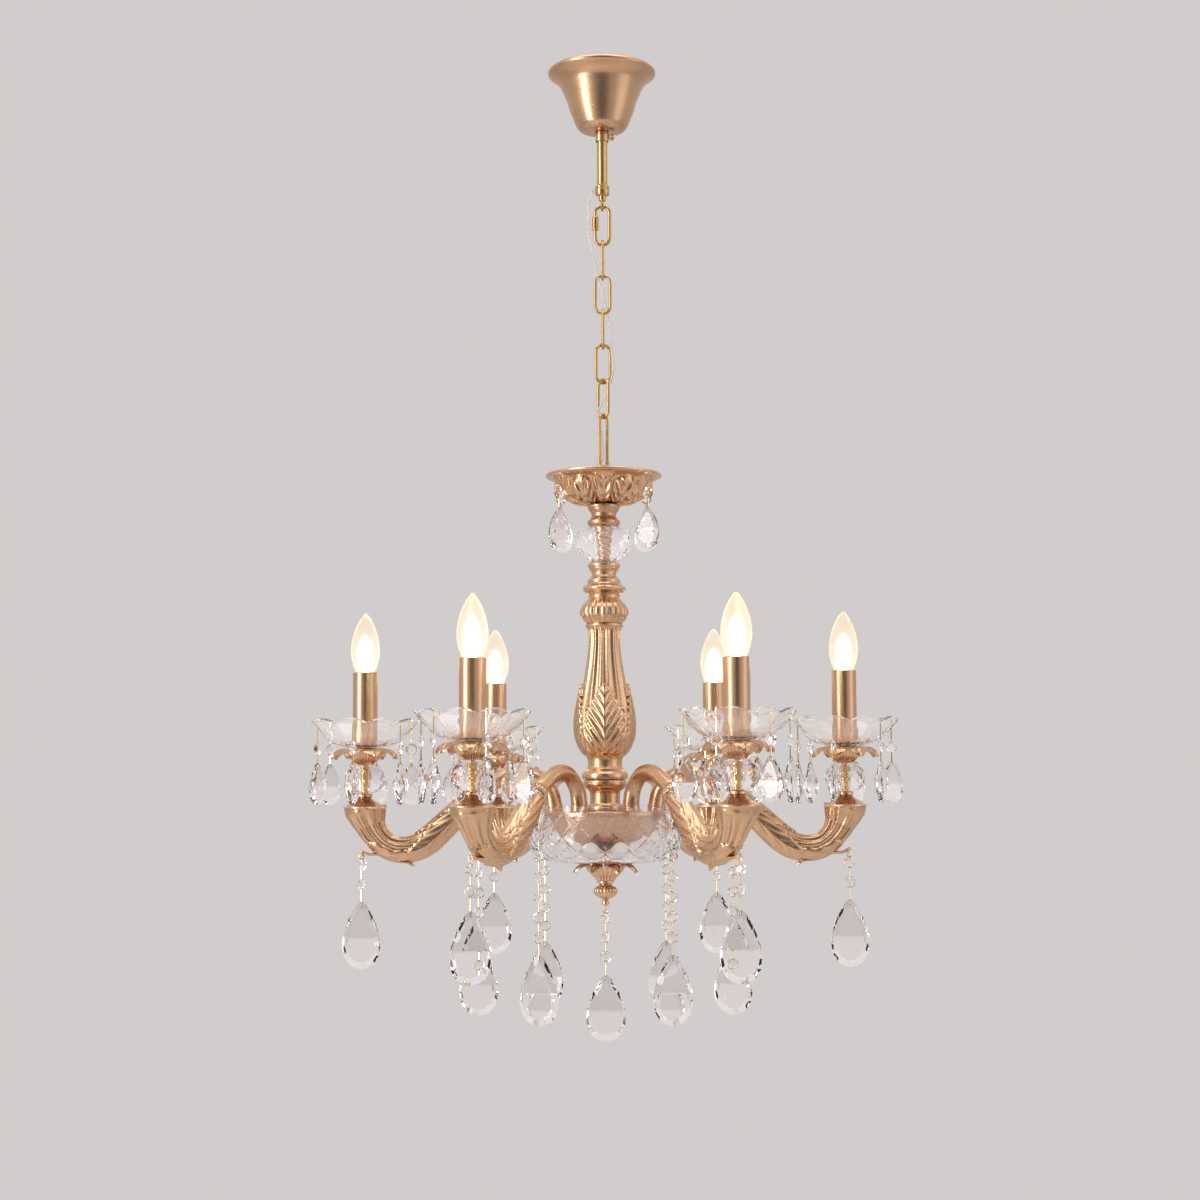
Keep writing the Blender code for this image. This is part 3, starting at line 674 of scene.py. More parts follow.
# %% Leaf relief
def leaf_height(aside, along, half_wide, lobes=6.0):
    """Height from 0 to about 1, at a distance aside (mm) and a share along the leaf."""
    if not 0.0 < along < 1.0:
        return 0.0
    share = abs(aside) / half_wide
    phase = lobes * (along - 0.48 * share ** 0.85)
    vein = 0.5 + 0.5 * math.cos(TAU * phase)
    outline = (1.0 - along ** 3) ** 0.6 * (0.74 + 0.26 * math.sin(3.8 * along))
    outline *= 0.86 + 0.14 * vein
    inside = (outline - share) * half_wide / 1.4
    edge = min(max(inside, 0.0), 1.0)
    edge = edge * edge * (3 - 2 * edge)
    rib = math.exp(-(aside / (0.9 + 0.05 * half_wide)) ** 2)
    return edge * (0.46 + 0.42 * vein * (1.0 - rib) + 0.50 * rib)


def around_to(angle, centre, r):
    """Distance in mm round the surface from a centre line given in degrees."""
    turn = (angle - math.radians(centre) + math.pi) % TAU - math.pi
    return turn * r


# %% [markdown]
# ## Crown
# The chain's last link takes a soldered loop. Round it sits a cast dish whose underside
# carries a ring of twelve leaves, long and short in turn, under a plain thin rim.

# %% Crown loop, dish and neck
LOOP_HALF_WIDE, LOOP_ARC_Z, LOOP_PLANE = 6.6, -428.5, 48.0
CROWN_LEAVES = 12
CARVING_START, CARVING_LONG = 17.7, 46.0


def crown_relief(angle, r, z):
    """Long and short leaves in turn, on the underside of the crown dish."""
    along = (r - CARVING_START) / CARVING_LONG
    if not 0.0 < along < 1.0:
        return r, z
    turn = CROWN_LEAVES * angle / TAU + 0.5
    share = 2.0 * abs(turn % 1.0 - 0.5)
    reach = (66.0 if int(turn) % 2 else 59.0) - 7.0 * share ** 2
    tip = min(max((reach - r) / 2.2, 0.0), 1.0)
    gap = 1.0 - math.exp(-((1.0 - share) * (1.8 + 2.6 * along)) ** 2)
    vein = 0.5 + 0.5 * math.cos(TAU * (4.0 * along - 1.3 * share))
    rib = math.exp(-(share * (2.0 + 5.0 * along)) ** 2)
    rise = tip * gap * (0.34 + 0.60 * vein * (1.0 - rib) + 0.5 * rib)
    fade = min(1.0, 7.0 * along, 7.0 * (1.0 - along))
    lift = (8.0 * rise - 3.6) * fade
    return r + 0.5 * lift, z - 0.85 * lift


def add_crown():
    angle = math.radians(LOOP_PLANE)
    wide, legs = LOOP_HALF_WIDE, (-486.0, -470.0, -455.0, -440.0)
    outs = [(-wide, z) for z in legs]
    outs += [(-wide * math.cos(math.pi * i / 12), LOOP_ARC_Z + wide * math.sin(math.pi * i / 12))
             for i in range(13)]
    outs += [(wide, z) for z in reversed(legs)]
    hoop = wire([(out * math.cos(angle), out * math.sin(angle), z) for out, z in outs], 1.9, 14)
    base = skin(turned_rows(eased([
        (0.0, -484.0), (10.4, -484.0), (10.4, -489.0), (6.0, -491.0), (6.0, -519.0),
        (10.5, -519.0), (10.5, -525.4), (0.0, -525.4)], 0.5), 48))
    feet = [(wire([(side * wide * math.cos(angle), side * wide * math.sin(angle), z)
                   for z in (-477.0, -479.0, -485.0)], [2.0, 2.9, 2.9], 14), 0)
            for side in (-1, 1)]
    show("hanging_loop", gathered([(hoop, 0), (base, 0), *feet]), "fixture", [BRASS],
         "crown_loop", crease=50.0)

    outside = smooth([
        (62.8, -494.0), (66.8, -493.8), (68.6, -494.8), (68.5, -496.4), (66.6, -497.8),
        (63.7, -499.2), (57.5, -504.8), (48.6, -516.0), (41.0, -522.4), (31.0, -526.0),
        (17.7, -528.2)], 1.1) + [(5.3, -528.4)]
    inside = [(5.3, -525.7), (28.0, -524.0), (40.0, -518.2), (54.0, -502.4), (61.4, -496.6)]
    rows = turned_rows(outside, 300, crown_relief) + turned_rows(inside, 300)
    show("crown_bowl", skin(rows, ring=True), "fixture", [CAST], "crown_dish", crease=50.0)


def neck(top):
    """The stepped cup, waist and ring used above and below the cut vase."""
    drops = [(15.4, 0.0), (16.8, 0.6), (19.3, 2.2), (19.3, 5.0), (18.2, 6.2), (17.8, 7.8),
             (14.8, 11.6), (14.5, 15.0), (16.4, 18.4), (19.3, 20.6), (19.3, 24.0)]
    return [(r, top - drop) for r, drop in drops]


def add_neck():
    profile = [(5.3, -528.7)] + neck(-528.7) + [(17.4, -555.0), (15.8, -556.4), (5.3, -556.4)]
    rows = turned_rows(eased(profile, 0.6, 3.0), 96)
    show("upper_neck", skin(rows, ring=True), "fixture", [BRUSHED], "neck_upper", crease=45.0)


add_crown()
add_neck()

# %% [markdown]
# ## Cut vase and its twisted core
# A small vase of clear glass is cut with crossing grooves. Inside it the centre tube wears
# a twisted rope sleeve, which the glass magnifies. Two families of slanting grooves, one
# each way, give the diamond pattern of real cutting.

# %% Vase, tube and rope
def cross_cut(angle, share, count, turns, width):
    """Depth from 0 to 1 of two families of slanting V grooves."""
    deepest = 0.0
    for way in (-1, 1):
        phase = (count * angle / TAU + way * turns * share) % 1.0
        deepest = max(deepest, 1.0 - abs(phase - 0.5) / width)
    return max(deepest, 0.0)


def rope(angle, r, z, count, lead, depth):
    """A twisted sleeve: rounded strands that wind down the tube."""
    strand = math.cos(count * angle + TAU * z / lead)
    return r + depth * (abs(strand) - 0.6), z


def add_vase():
    def cut(angle, r, z):
        share = (-558.0 - z) / 40.0
        if not 0.0 < share < 1.0 or r < 15.5:
            return r, z
        fade = min(1.0, 8.0 * share, 5.0 * (1.0 - share))
        return r - 0.8 * fade * cross_cut(angle, share, 14, 1.5, 0.2), z

    outside = smooth([(15.2, -556.8), (24.0, -558.2), (31.6, -562.6), (35.4, -570.4),
                      (33.6, -579.0), (26.0, -588.8), (15.6, -597.6)], 1.5)
    inside = [(7.2, -598.0), (7.9, -588.0), (8.6, -580.0), (10.4, -568.0), (12.6, -556.8)]
    rows = turned_rows(outside, 196, cut) + turned_rows(inside, 196)
    show("cut_vase", skin(rows, ring=True), "fixture", [DISH_GLASS], "vase_glass", crease=16.0)


def add_tube():
    def twist(angle, r, z):
        return rope(angle, r, z, 2, 11.0, 1.8) if -598.0 < z < -557.0 and r > 5.0 else (r, z)

    sleeve = smooth([(10.6, -557.6), (8.6, -568.0), (6.9, -581.0), (6.2, -597.4)], 0.8)
    profile = [(0.0, -505.0), (4.9, -505.0), (4.9, -557.0)] + sleeve
    profile += [(4.9, -598.2), (4.9, -957.0), (0.0, -957.0)]
    show("centre_rod", skin(turned_rows(profile, 64, twist)), "fixture", [CAST],
         "centre_tube", crease=50.0)


add_vase()
add_tube()

# %% [markdown]
# ## Baluster
# The main casting has a ring, a knop with gadroons, a fluted shaft and a bulb wrapped in
# four tall leaves with four shorter ones between. All of it is one relief over a turned
# profile, which keeps every edge watertight.

# %% Baluster and foot
LEAF_FOOT_Z = -826.0
KNOP_LOW_Z, KNOP_TOP_Z = -671.0, -643.0
SHAFT_TOP_Z, FLUTE_LOW_Z = -674.0, -800.0


def baluster_relief(angle, r, z):
    """The carving at one place on the baluster."""
    if KNOP_LOW_Z < z < KNOP_TOP_Z:
        fade = math.sin(math.pi * (z - KNOP_LOW_Z) / (KNOP_TOP_Z - KNOP_LOW_Z)) ** 0.6
        return r + 1.5 * fade * (abs(math.cos(10 * angle)) - 0.55), z
    if not LEAF_FOOT_Z < z < SHAFT_TOP_Z:
        return r, z
    tall = (z - LEAF_FOOT_Z) / 85.0
    short = (z - LEAF_FOOT_Z) / 58.0
    rise = 0.0
    for k in range(4):
        side = around_to(angle, 90.0 * k, r)
        rise = max(rise, 1.1 * leaf_height(side, tall, 27.0, 6.5))
        between = around_to(angle, 90.0 * k + 45.0, r)
        rise = max(rise, 0.8 * leaf_height(between, short, 16.0, 4.5))
    fade = min(1.0, (SHAFT_TOP_Z - z) / 5.0, (z - LEAF_FOOT_Z) / 4.0)
    channel = (0.5 + 0.5 * math.cos(16 * angle)) ** 0.7
    flute = 0.0
    if z >= FLUTE_LOW_Z:
        flute = -1.5 * channel * min(1.0, (z - FLUTE_LOW_Z) / 12.0)
    return r + fade * flute * (1.0 - min(1.0, 1.6 * rise)) + 3.2 * fade * rise, z


def add_baluster():
    upper = [(5.3, -598.4)] + neck(-598.4)
    upper += [(20.6, -625.0), (24.6, -627.0), (25.8, -629.4), (24.6, -632.0), (21.0, -634.6),
              (18.4, -637.4), (18.4, -640.6), (20.4, -643.6)]
    knop = smooth([(20.4, -643.6), (24.8, -648.4), (27.4, -653.4), (28.0, -658.0),
                   (26.4, -663.4), (23.2, -668.0), (20.8, -671.2)], 1.0)
    ledge = [(22.2, -671.8), (22.6, -673.2), (22.0, -674.6)]
    shaft = smooth([
        (20.4, -675.4), (19.2, -682.0), (18.8, -692.0), (20.6, -711.0), (23.6, -730.0),
        (26.8, -746.0), (29.8, -761.0), (32.4, -776.0), (33.4, -790.0), (32.4, -802.0),
        (28.6, -813.6), (22.4, -824.6)], 1.0)
    lower = [(21.4, -826.6), (20.4, -829.6), (19.8, -833.4), (19.8, -837.2),
             (21.4, -840.6), (24.6, -843.6), (26.6, -846.4), (26.9, -849.8), (26.0, -852.6),
             (5.3, -852.6)]
    profile = eased(upper, 0.6, 3.0) + knop[1:] + ledge + shaft + eased(lower, 0.8, 3.0)
    rows = turned_rows(profile, 256, baluster_relief)
    bore = turned_rows([(5.3, -842.0), (5.3, -680.0)], 256)
    show("baluster_casting", skin(rows + bore, ring=True), "fixture", [CAST], "baluster",
         crease=50.0)
    foot = eased([
        (5.3, -853.0), (24.0, -853.0), (25.0, -855.4), (25.0, -858.6), (23.4, -861.8),
        (18.6, -865.4), (17.4, -869.0), (17.4, -880.0), (19.0, -882.6), (22.0, -885.2),
        (22.2, -889.7), (5.3, -889.7)], 0.8, 3.0)
    show("column_base", skin(turned_rows(foot, 96), ring=True), "fixture", [BRUSHED],
         "column_foot", crease=45.0)


add_baluster()

# %% [markdown]
# ## Curled leaves
# The finial and the candle cups carry the same kind of cast leaf. It is a strip that
# follows a line, with a raised midrib and thin edges, and eight of them go round.

# %% Petals
def petal(path, widths, thick):
    """A cast leaf along a line in the XZ plane, with a midrib and thin edges."""
    line = smooth([(x, 0.0, z) for x, z in path], 1.4)
    rows = []
    for i, here in enumerate(line):
        here = Vector(here)
        after = Vector(line[min(i + 1, len(line) - 1)])
        before = Vector(line[max(i - 1, 0)])
        along = (after - before).normalized()
        up = Vector((-along.z, 0.0, along.x))
        t = i / (len(line) - 1) * (len(widths) - 1)
        low = min(int(t), len(widths) - 2)
        half = 0.5 * (widths[low] + (widths[low + 1] - widths[low]) * (t - low))
        row = []
        for side, lift in ((-1, 0.0), (-0.55, 0.55), (-0.25, 0.25), (0, 0.9), (0.25, 0.25),
                           (0.55, 0.55), (1, 0.0), (0.5, -0.45), (0, -0.4), (-0.5, -0.45)):
            row.append(tuple(here + Vector((0.0, side * half, 0.0)) + up * lift * thick))
        rows.append(row)
    return skin(rows)


def petal_ring(leaf, number, count=8):
    """The leaf repeated round the axis, ready to be gathered with a finish number."""
    return [(leaf, number, turned_by(360.0 * (i + 0.5) / count)) for i in range(count)]


# %% [markdown]
# ## Hub, glass bowl and finial
# A spun metal cup holds the arms. A thick glass bowl, cut with wide crossing grooves and
# a scalloped rim, hangs round it, so the gold shows through the cuts. A ribbed finial
# with curled leaves closes the bottom.

# %% Hub and bowl
def add_hub():
    profile = eased([
        (5.3, -890.0), (72.4, -890.0), (73.7, -891.4), (73.7, -895.8), (70.6, -899.4),
        (61.0, -907.8), (48.0, -918.4), (34.0, -927.2), (20.0, -933.0), (5.3, -935.0)], 0.8)
    rows = turned_rows(profile, 128) + turned_rows([(5.3, -932.6), (5.3, -892.4)], 128)
    show("hub", skin(rows, ring=True), "fixture", [BRUSHED], "hub_cup", crease=45.0)


def add_bowl():
    def scallop(angle, r, z):
        share = min(max((z + 905.0) / 20.0, 0.0), 1.0)
        wave = abs(math.cos(7 * angle))
        return r + 1.2 * share * (wave - 0.6), z + share * (5.6 * wave - 3.4)

    def cut(angle, r, z):
        r, z = scallop(angle, r, z)
        share = (-889.0 - z) / 58.0
        if not 0.0 < share < 1.0:
            return r, z
        fade = min(1.0, 8.0 * share, 7.0 * (1.0 - share))
        depth = 1.7 * fade * cross_cut(angle, share, 16, 1.8, 0.13)
        return r - depth * 0.86, z + depth * 0.5 * share

    outside = smooth([(77.8, -884.0), (80.0, -891.0), (82.4, -899.0), (86.0, -909.0),
                      (88.6, -919.0), (88.0, -929.0), (83.0, -938.0), (74.0, -944.4),
                      (62.0, -948.0), (40.0, -949.6)], 1.7) + [(5.3, -949.8)]
    inside = [(5.3, -944.6)] + smooth([(40.0, -944.0), (60.0, -943.0), (74.6, -936.2),
                                       (82.6, -924.0), (79.6, -904.0), (75.4, -884.4)], 3.0)
    rows = turned_rows(outside, 336, cut) + turned_rows(inside, 336, scallop)
    show("cut_bowl", skin(rows, ring=True), "fixture", [BOWL_GLASS], "bowl_glass", crease=16.0)


def add_finial():
    def ribbed(angle, r, z):
        if -970.0 < z < -950.4 and r > 10.0:
            return r + 0.7 * math.cos(20 * angle), z
        if -990.0 < z < -975.0:
            return r + 0.9 * abs(math.cos(8 * angle)) - 0.5, z
        return r, z

    profile = [(0.0, -950.2), (21.8, -950.2)] + smooth([
        (22.6, -951.4), (21.6, -955.0), (17.8, -960.6), (12.4, -966.0), (10.2, -969.4)], 0.9)
    profile += eased([(9.6, -970.2), (9.6, -972.4), (7.2, -973.2), (7.0, -974.2)], 0.4, 1.0)
    profile += smooth([(7.6, -975.0), (11.6, -977.4), (13.8, -980.6), (12.2, -985.2),
                       (8.0, -988.8), (4.2, -990.6)], 0.9)
    profile += smooth([(3.2, -992.2), (4.2, -994.6), (3.6, -997.4), (0.0, -999.2)], 0.9)
    cap = skin(turned_rows(profile, 160, ribbed))
    leaf = petal([(16.0, -952.4), (22.0, -951.8), (28.0, -952.0), (33.0, -954.2),
                  (36.4, -957.6), (38.0, -960.4)], [12.0, 15.0, 16.0, 15.0, 11.0, 4.0], 3.0)
    leaves = petal_ring(leaf, 0)
    eye = ring_wire(2.6, 0.8, (0.0, 0.0, -1001.2), 90.0, 16, 8)
    show("bottom_finial", gathered([(cap, 0), (eye, 0), *leaves]), "fixture", [CAST], "finial",
         crease=50.0)


add_hub()
add_bowl()
add_finial()

# %% [markdown]
# ## Arms
# Each arm is one casting: a plain round rise out of the hub, a beaded ring, a carved
# length and a fluted trumpet that carries the lamp. It is a round section swept along a
# line, with the relief moving each point in or out. The six arms share one mesh.

# %% Arm sweep
ARM_LINE = (
    # distance from the axis, height, radius of the section
    (60.0, -889.7, 9.6), (60.0, -880.0, 9.2), (65.0, -864.0, 9.0), (80.0, -849.6, 9.0),
    (99.0, -845.8, 9.0), (118.0, -849.6, 9.0), (138.0, -860.6, 9.4), (144.6, -865.2, 9.8),
    (147.0, -866.9, 11.6), (150.0, -869.2, 12.0), (153.0, -871.6, 11.4), (156.0, -874.2, 10.4),
    (180.0, -898.6, 13.4), (205.0, -921.6, 14.6), (222.0, -930.6, 14.2), (240.0, -932.2, 13.8),
    (254.0, -927.6, 13.4), (265.4, -917.2, 14.0), (272.6, -905.0, 16.6), (278.2, -888.0, 24.4),
    (279.0, -884.6, 25.4), (279.4, -883.2, 25.0), (279.8, -881.2, 20.6), (280.0, -878.4, 16.6),
    (280.0, -875.6, 11.0), (280.0, -873.2, 8.6), (280.0, -872.0, 7.6), (280.0, -871.2, 9.2),
    (280.0, -868.6, 9.2), (280.0, -867.8, 8.0))
RING_KNOT, CARVED_KNOT, MOUTH_KNOT, UPRIGHT_KNOT = 9.0, 11.0, 18.4, 20
ARM_SIDES = 84
ARM_GIRTH, SIDE_LEAF_TURN = 13.0, 1.35
SPINE_KNOT, SPINE_LONG = 16.9, 5.2


def arm_relief(around, knot):
    """How far the surface of the arm stands out. around is 0 on the inner, upper side."""
    under = 0.5 - 0.5 * math.cos(around)
    if knot < RING_KNOT - 2.2:
        return 0.35 * math.cos(4 * around) * min(1.0, 0.4 * knot)
    if knot < CARVED_KNOT - 0.4:
        bead = max(0.0, 1.0 - abs(knot - RING_KNOT) / 1.1)
        return 1.5 * bead * abs(math.cos(10 * around))
    if knot > MOUTH_KNOT + 1.0:
        return 0.0
    run = (knot - CARVED_KNOT) / (MOUTH_KNOT - CARVED_KNOT)
    flute = 0.5 * math.cos(10 * around)
    reeds = (1.0 + 1.9 * run) * flute * min(1.0, 3.0 * run)
    if knot > MOUTH_KNOT:
        reeds *= 1.0 - (knot - MOUTH_KNOT)
    behind = around - math.pi
    before = around if around < math.pi else around - TAU
    spine = leaf_height(behind * ARM_GIRTH, (SPINE_KNOT - knot) / SPINE_LONG, 22.0, 4.5)
    collar_leaf = max(leaf_height((abs(behind) - SIDE_LEAF_TURN) * ARM_GIRTH,
                                  (knot - CARVED_KNOT) / 3.4, 16.0, 5.0),
                      leaf_height(before * ARM_GIRTH, (knot - CARVED_KNOT) / 2.6, 11.0, 4.0))
    carved = max(spine * min(1.0, 0.35 + under), collar_leaf)
    return reeds * (1.0 - min(1.0, 1.8 * carved)) + 2.3 * carved - 0.2


def arm_rows():
    """The rings of points along one arm."""
    rows, knot_count = [], len(ARM_LINE)
    centres = [Vector((x, 0.0, z)) for x, z, _ in ARM_LINE]
    padded = [2 * centres[0] - centres[1]] + centres + [2 * centres[-1] - centres[-2]]
    for k in range(knot_count - 1):
        a, b, c, d = padded[k:k + 4]
        steps = max(2, math.ceil((c - b).length / 1.7))
        for i in range(steps + (k == knot_count - 2)):
            t = i / steps
            here = curve_point(a, b, c, d, t)
            along = 0.5 * ((c - a) + 2 * (2 * a - 5 * b + 4 * c - d) * t
                           + 3 * (3 * b - a - 3 * c + d) * t ** 2)
            if k >= UPRIGHT_KNOT:
                along = Vector((0.0, 0.0, 1.0))
            along.normalize()
            up = Vector((-along.z, 0.0, along.x))
            plain = ARM_LINE[k][2] + (ARM_LINE[k + 1][2] - ARM_LINE[k][2]) * t
            row = []
            for s in range(ARM_SIDES):
                around = TAU * s / ARM_SIDES
                r = plain + arm_relief(around, k + t)
                row.append(tuple(here + up * r * math.cos(around)
                                 + Vector((0.0, r * math.sin(around), 0.0))))
            rows.append(row)
    return rows


def add_arms():
    body = skin(arm_rows())
    top_tip = petal([(190.0, -891.0), (199.0, -899.6), (206.0, -905.4), (210.6, -907.6)],
                    [13.0, 17.0, 12.0, 2.0], 3.0)
    low_tip = petal([(243.0, -945.2), (234.0, -946.8), (228.0, -948.2), (223.4, -952.6)],
                    [14.0, 17.0, 11.0, 2.0], -3.0)
    hook = petal([(256.0, -938.0), (266.0, -937.6), (276.0, -937.2), (284.4, -933.0)],
                 [14.0, 12.0, 7.0, 2.0], -2.6)
    eye = ring_wire(2.6, 0.8, (283.0, 0.0, -937.6), 90.0, 16, 8)
    mesh = gathered([(body, 0), (top_tip, 0), (low_tip, 0), (hook, 0), (eye, 0)])
    show_six("arm_casting_#", mesh, "fixture", [CAST], "arm_#")
    print("faces in one arm:", len(mesh.polygons))


add_arms()

# %% [markdown]
# ## Crystal balls
# Between the arm and the lamp sits a drilled crystal ball, ground with rows of flat
# triangles. Rows that stand half a step apart make those triangles on their own.

# %% Balls
LAMP_RADIUS = 280.0


def ball_mesh():
    rows = []
    sizes = [(10.2, -835.0), (17.4, -837.6), (21.4, -842.2), (23.2, -848.0), (23.2, -854.2),
             (21.4, -860.0), (17.4, -864.6), (10.2, -867.3), (5.6, -867.3), (5.6, -835.0)]
    for k, (r, z) in enumerate(sizes):
        shift = 0.5 if k % 2 else 0.0
        rows.append([(r * math.cos(TAU * (i + shift) / 12), r * math.sin(TAU * (i + shift) / 12), z)
                     for i in range(12)])
    return skin(rows, ring=True, fan=True)


def add_balls():
    show_six("crystal_ball_#", ball_mesh(), "fixture", [CRYSTAL], "ball_#", LAMP_RADIUS, 1.0)


add_balls()

# %% [markdown]
# ## Lamp stacks
# Under each glass dish a ribbed cup opens into eight curled leaves. A twisted sleeve runs
# through the ball, and above the dish a brushed candle cover hides the lampholder. They
# are joined in one mesh with three finishes, because they are screwed up as one stack.

# %% Candle cover, leaf cup and sleeve
def stack_mesh():
    cover = skin(turned_rows(eased([
        (13.5, -809.4), (13.5, -727.2), (14.1, -726.9), (14.4, -727.6), (14.4, -812.2),
        (5.1, -812.2), (5.1, -809.4)], 0.15, 8.0), 96), ring=True)
    holder = skin(turned_rows(eased([
        (0.0, -758.4), (8.0, -758.4), (8.0, -731.5), (12.2, -731.5), (12.2, -764.0),
        (5.0, -764.0), (5.0, -809.0), (0.0, -809.0)], 0.4, 8.0), 48))

    def ribs(angle, r, z):
        return (r + 0.6 * math.cos(30 * angle), z) if r > 8.0 and z < -817.4 else (r, z)

    cup = skin(turned_rows([(0.0, -816.5), (19.6, -816.5)] + smooth([
        (20.8, -817.2), (20.6, -819.4), (18.8, -823.6), (15.2, -828.4), (11.6, -831.6),
        (9.6, -834.4)], 0.9) + [(5.4, -834.6), (0.0, -834.6)], 192, ribs))
    leaf = petal([(16.0, -819.6), (22.0, -818.2), (28.0, -818.0), (33.6, -820.0),
                  (37.4, -824.0), (38.6, -828.0)],
                 [14.0, 19.0, 23.0, 23.0, 16.0, 5.0], 2.3)
    leaves = petal_ring(leaf, 1)

    def twist(angle, r, z):
        return rope(angle, r, z, 2, 7.0, 0.9) if r > 3.0 else (r, z)

    rod = [(0.0, -812.4), (4.4, -812.4)]
    rod += [(4.4, -834.6 - 0.8 * i) for i in range(42)] + [(0.0, -867.5)]
    sleeve = skin(turned_rows(rod, 48, twist))
    return gathered([(cover, 0), (holder, 2), (cup, 1), (sleeve, 2), *leaves])


def add_stacks():
    mesh = stack_mesh()
    show_six("candle_stack_#", mesh, "fixture", [BRUSHED, CAST, BRASS], "lamp_stack_#",
             LAMP_RADIUS)
    print("faces in one stack:", len(mesh.polygons))


add_stacks()

# %% [markdown]
# ## Glass dishes
# Each candle stands in a shallow dish of pressed glass with a scalloped, fluted rim. The
# waves are added to both faces of the wall, so its thickness stays even.

# %% Bobeches
def dish_mesh():
    def wave(angle, r, z):
        share = min(max((r - 34.0) / 26.0, 0.0), 1.0) ** 1.5
        lobe = abs(math.cos(5 * angle))
        return r + share * 2.4 * (lobe - 0.62), z + share * (5.0 * lobe - 3.2)

    def fluted(angle, r, z):
        r, z = wave(angle, r, z)
        share = min(max((r - 16.0) / 8.0, 0.0), 1.0) * min(max((60.0 - r) / 10.0, 0.0), 1.0)
        reach = min(max((r - 16.0) / 44.0, 0.0), 1.0)
        return r, z + share * 0.9 * cross_cut(angle, reach, 20, 0.9, 0.3)

    outside = smooth([(62.4, -785.4), (59.6, -788.6), (56.0, -792.8), (51.6, -797.8),
                      (46.0, -803.4), (38.0, -809.0), (28.0, -813.4), (20.0, -815.8)], 1.6)
    outside += [(12.0, -816.2), (6.2, -816.2)]
    inside = [(6.2, -812.5), (18.6, -812.5)] + smooth([
        (28.0, -810.8), (38.0, -806.2), (45.0, -800.8), (50.4, -795.2), (54.8, -790.2),
        (58.6, -786.0), (61.0, -783.4)], 2.2)
    rows = turned_rows(outside, 240, fluted) + turned_rows(inside, 240, wave)
    return skin(rows, ring=True)


DISH_TURNS = (0.0, 14.0, 26.0, 8.0, 20.0, 32.0)


def add_dishes():
    form = dish_mesh()
    for number, turn in enumerate(DISH_TURNS):
        mesh = form.copy()
        mesh.transform(at(turn=60.0 * number + turn))
        show(f"glass_dish_{number + 1}", mesh, "fixture", [DISH_GLASS], f"bobeche_{number + 1}",
             place=round_axis(60.0 * number, LAMP_RADIUS) @ at(turn=-60.0 * number),
             crease=20.0)


add_dishes()

# %% [markdown]
# ## Flame bulbs
# A lit flame bulb is a thin glass around a bright filament. A solid of rough glass with a
# small glowing core inside blurs and enlarges the core, as the real glare does.

# %% Bulbs
def bulb_mesh():
    glass = skin(turned_rows([(0.0, -657.6)] + smooth([
        (1.8, -658.2), (5.8, -663.4), (9.0, -669.0), (12.2, -676.4), (15.4, -687.0),
        (16.8, -698.4), (16.6, -707.4), (14.6, -716.4), (11.4, -725.0), (8.4, -731.4)],
        1.6) + [(0.0, -732.0)],
        64))
    cap = skin(turned_rows([(0.0, -732.2), (7.0, -732.2), (7.1, -736.0), (6.6, -737.6),
                            (7.1, -739.2), (6.6, -740.8), (7.1, -742.4), (6.6, -744.0),
                            (7.0, -752.0), (0.0, -756.4)], 32))
    core = skin(turned_rows([(0.0, -685.0)] + smooth([
        (2.2, -687.0), (4.6, -694.0), (6.2, -703.0), (6.2, -712.0), (4.6, -722.0),
        (2.4, -728.0)], 2.0) + [(0.0, -729.0)], 32))
    return gathered([(glass, 0), (cap, 1), (core, 2)])


def add_bulbs():
    show_six("flame_bulb_#", bulb_mesh(), "bulb_#", [BULB_GLASS, BRASS, CORE], "bulb_#",
             LAMP_RADIUS)


add_bulbs()
print("bulbs: 6")

# %% [markdown]
# ## Cut drops and beads
# The large drops are flat pear shapes: a broad table on each face that breaks into two
# planes at the widest line, and narrow ground bevels to a thin girdle. Flat faces matter
# more than a fine mesh here, because each plane throws one clean flash.

# %% Drop and bead forms
DROP_OUTLINE = ((0.0, 0.0), (0.26, 0.06), (0.62, 0.24), (0.84, 0.39), (0.97, 0.55),
                (1.0, 0.66), (0.92, 0.80), (0.68, 0.915), (0.34, 0.98), (0.0, 1.0))
DROP_BREAK = 0.55
TABLE_WIDE, TABLE_TALL, GIRDLE = 0.74, 0.78, 1.1
BEAD_RADIUS, BEAD_HALF_THICK = 7.0, 2.8


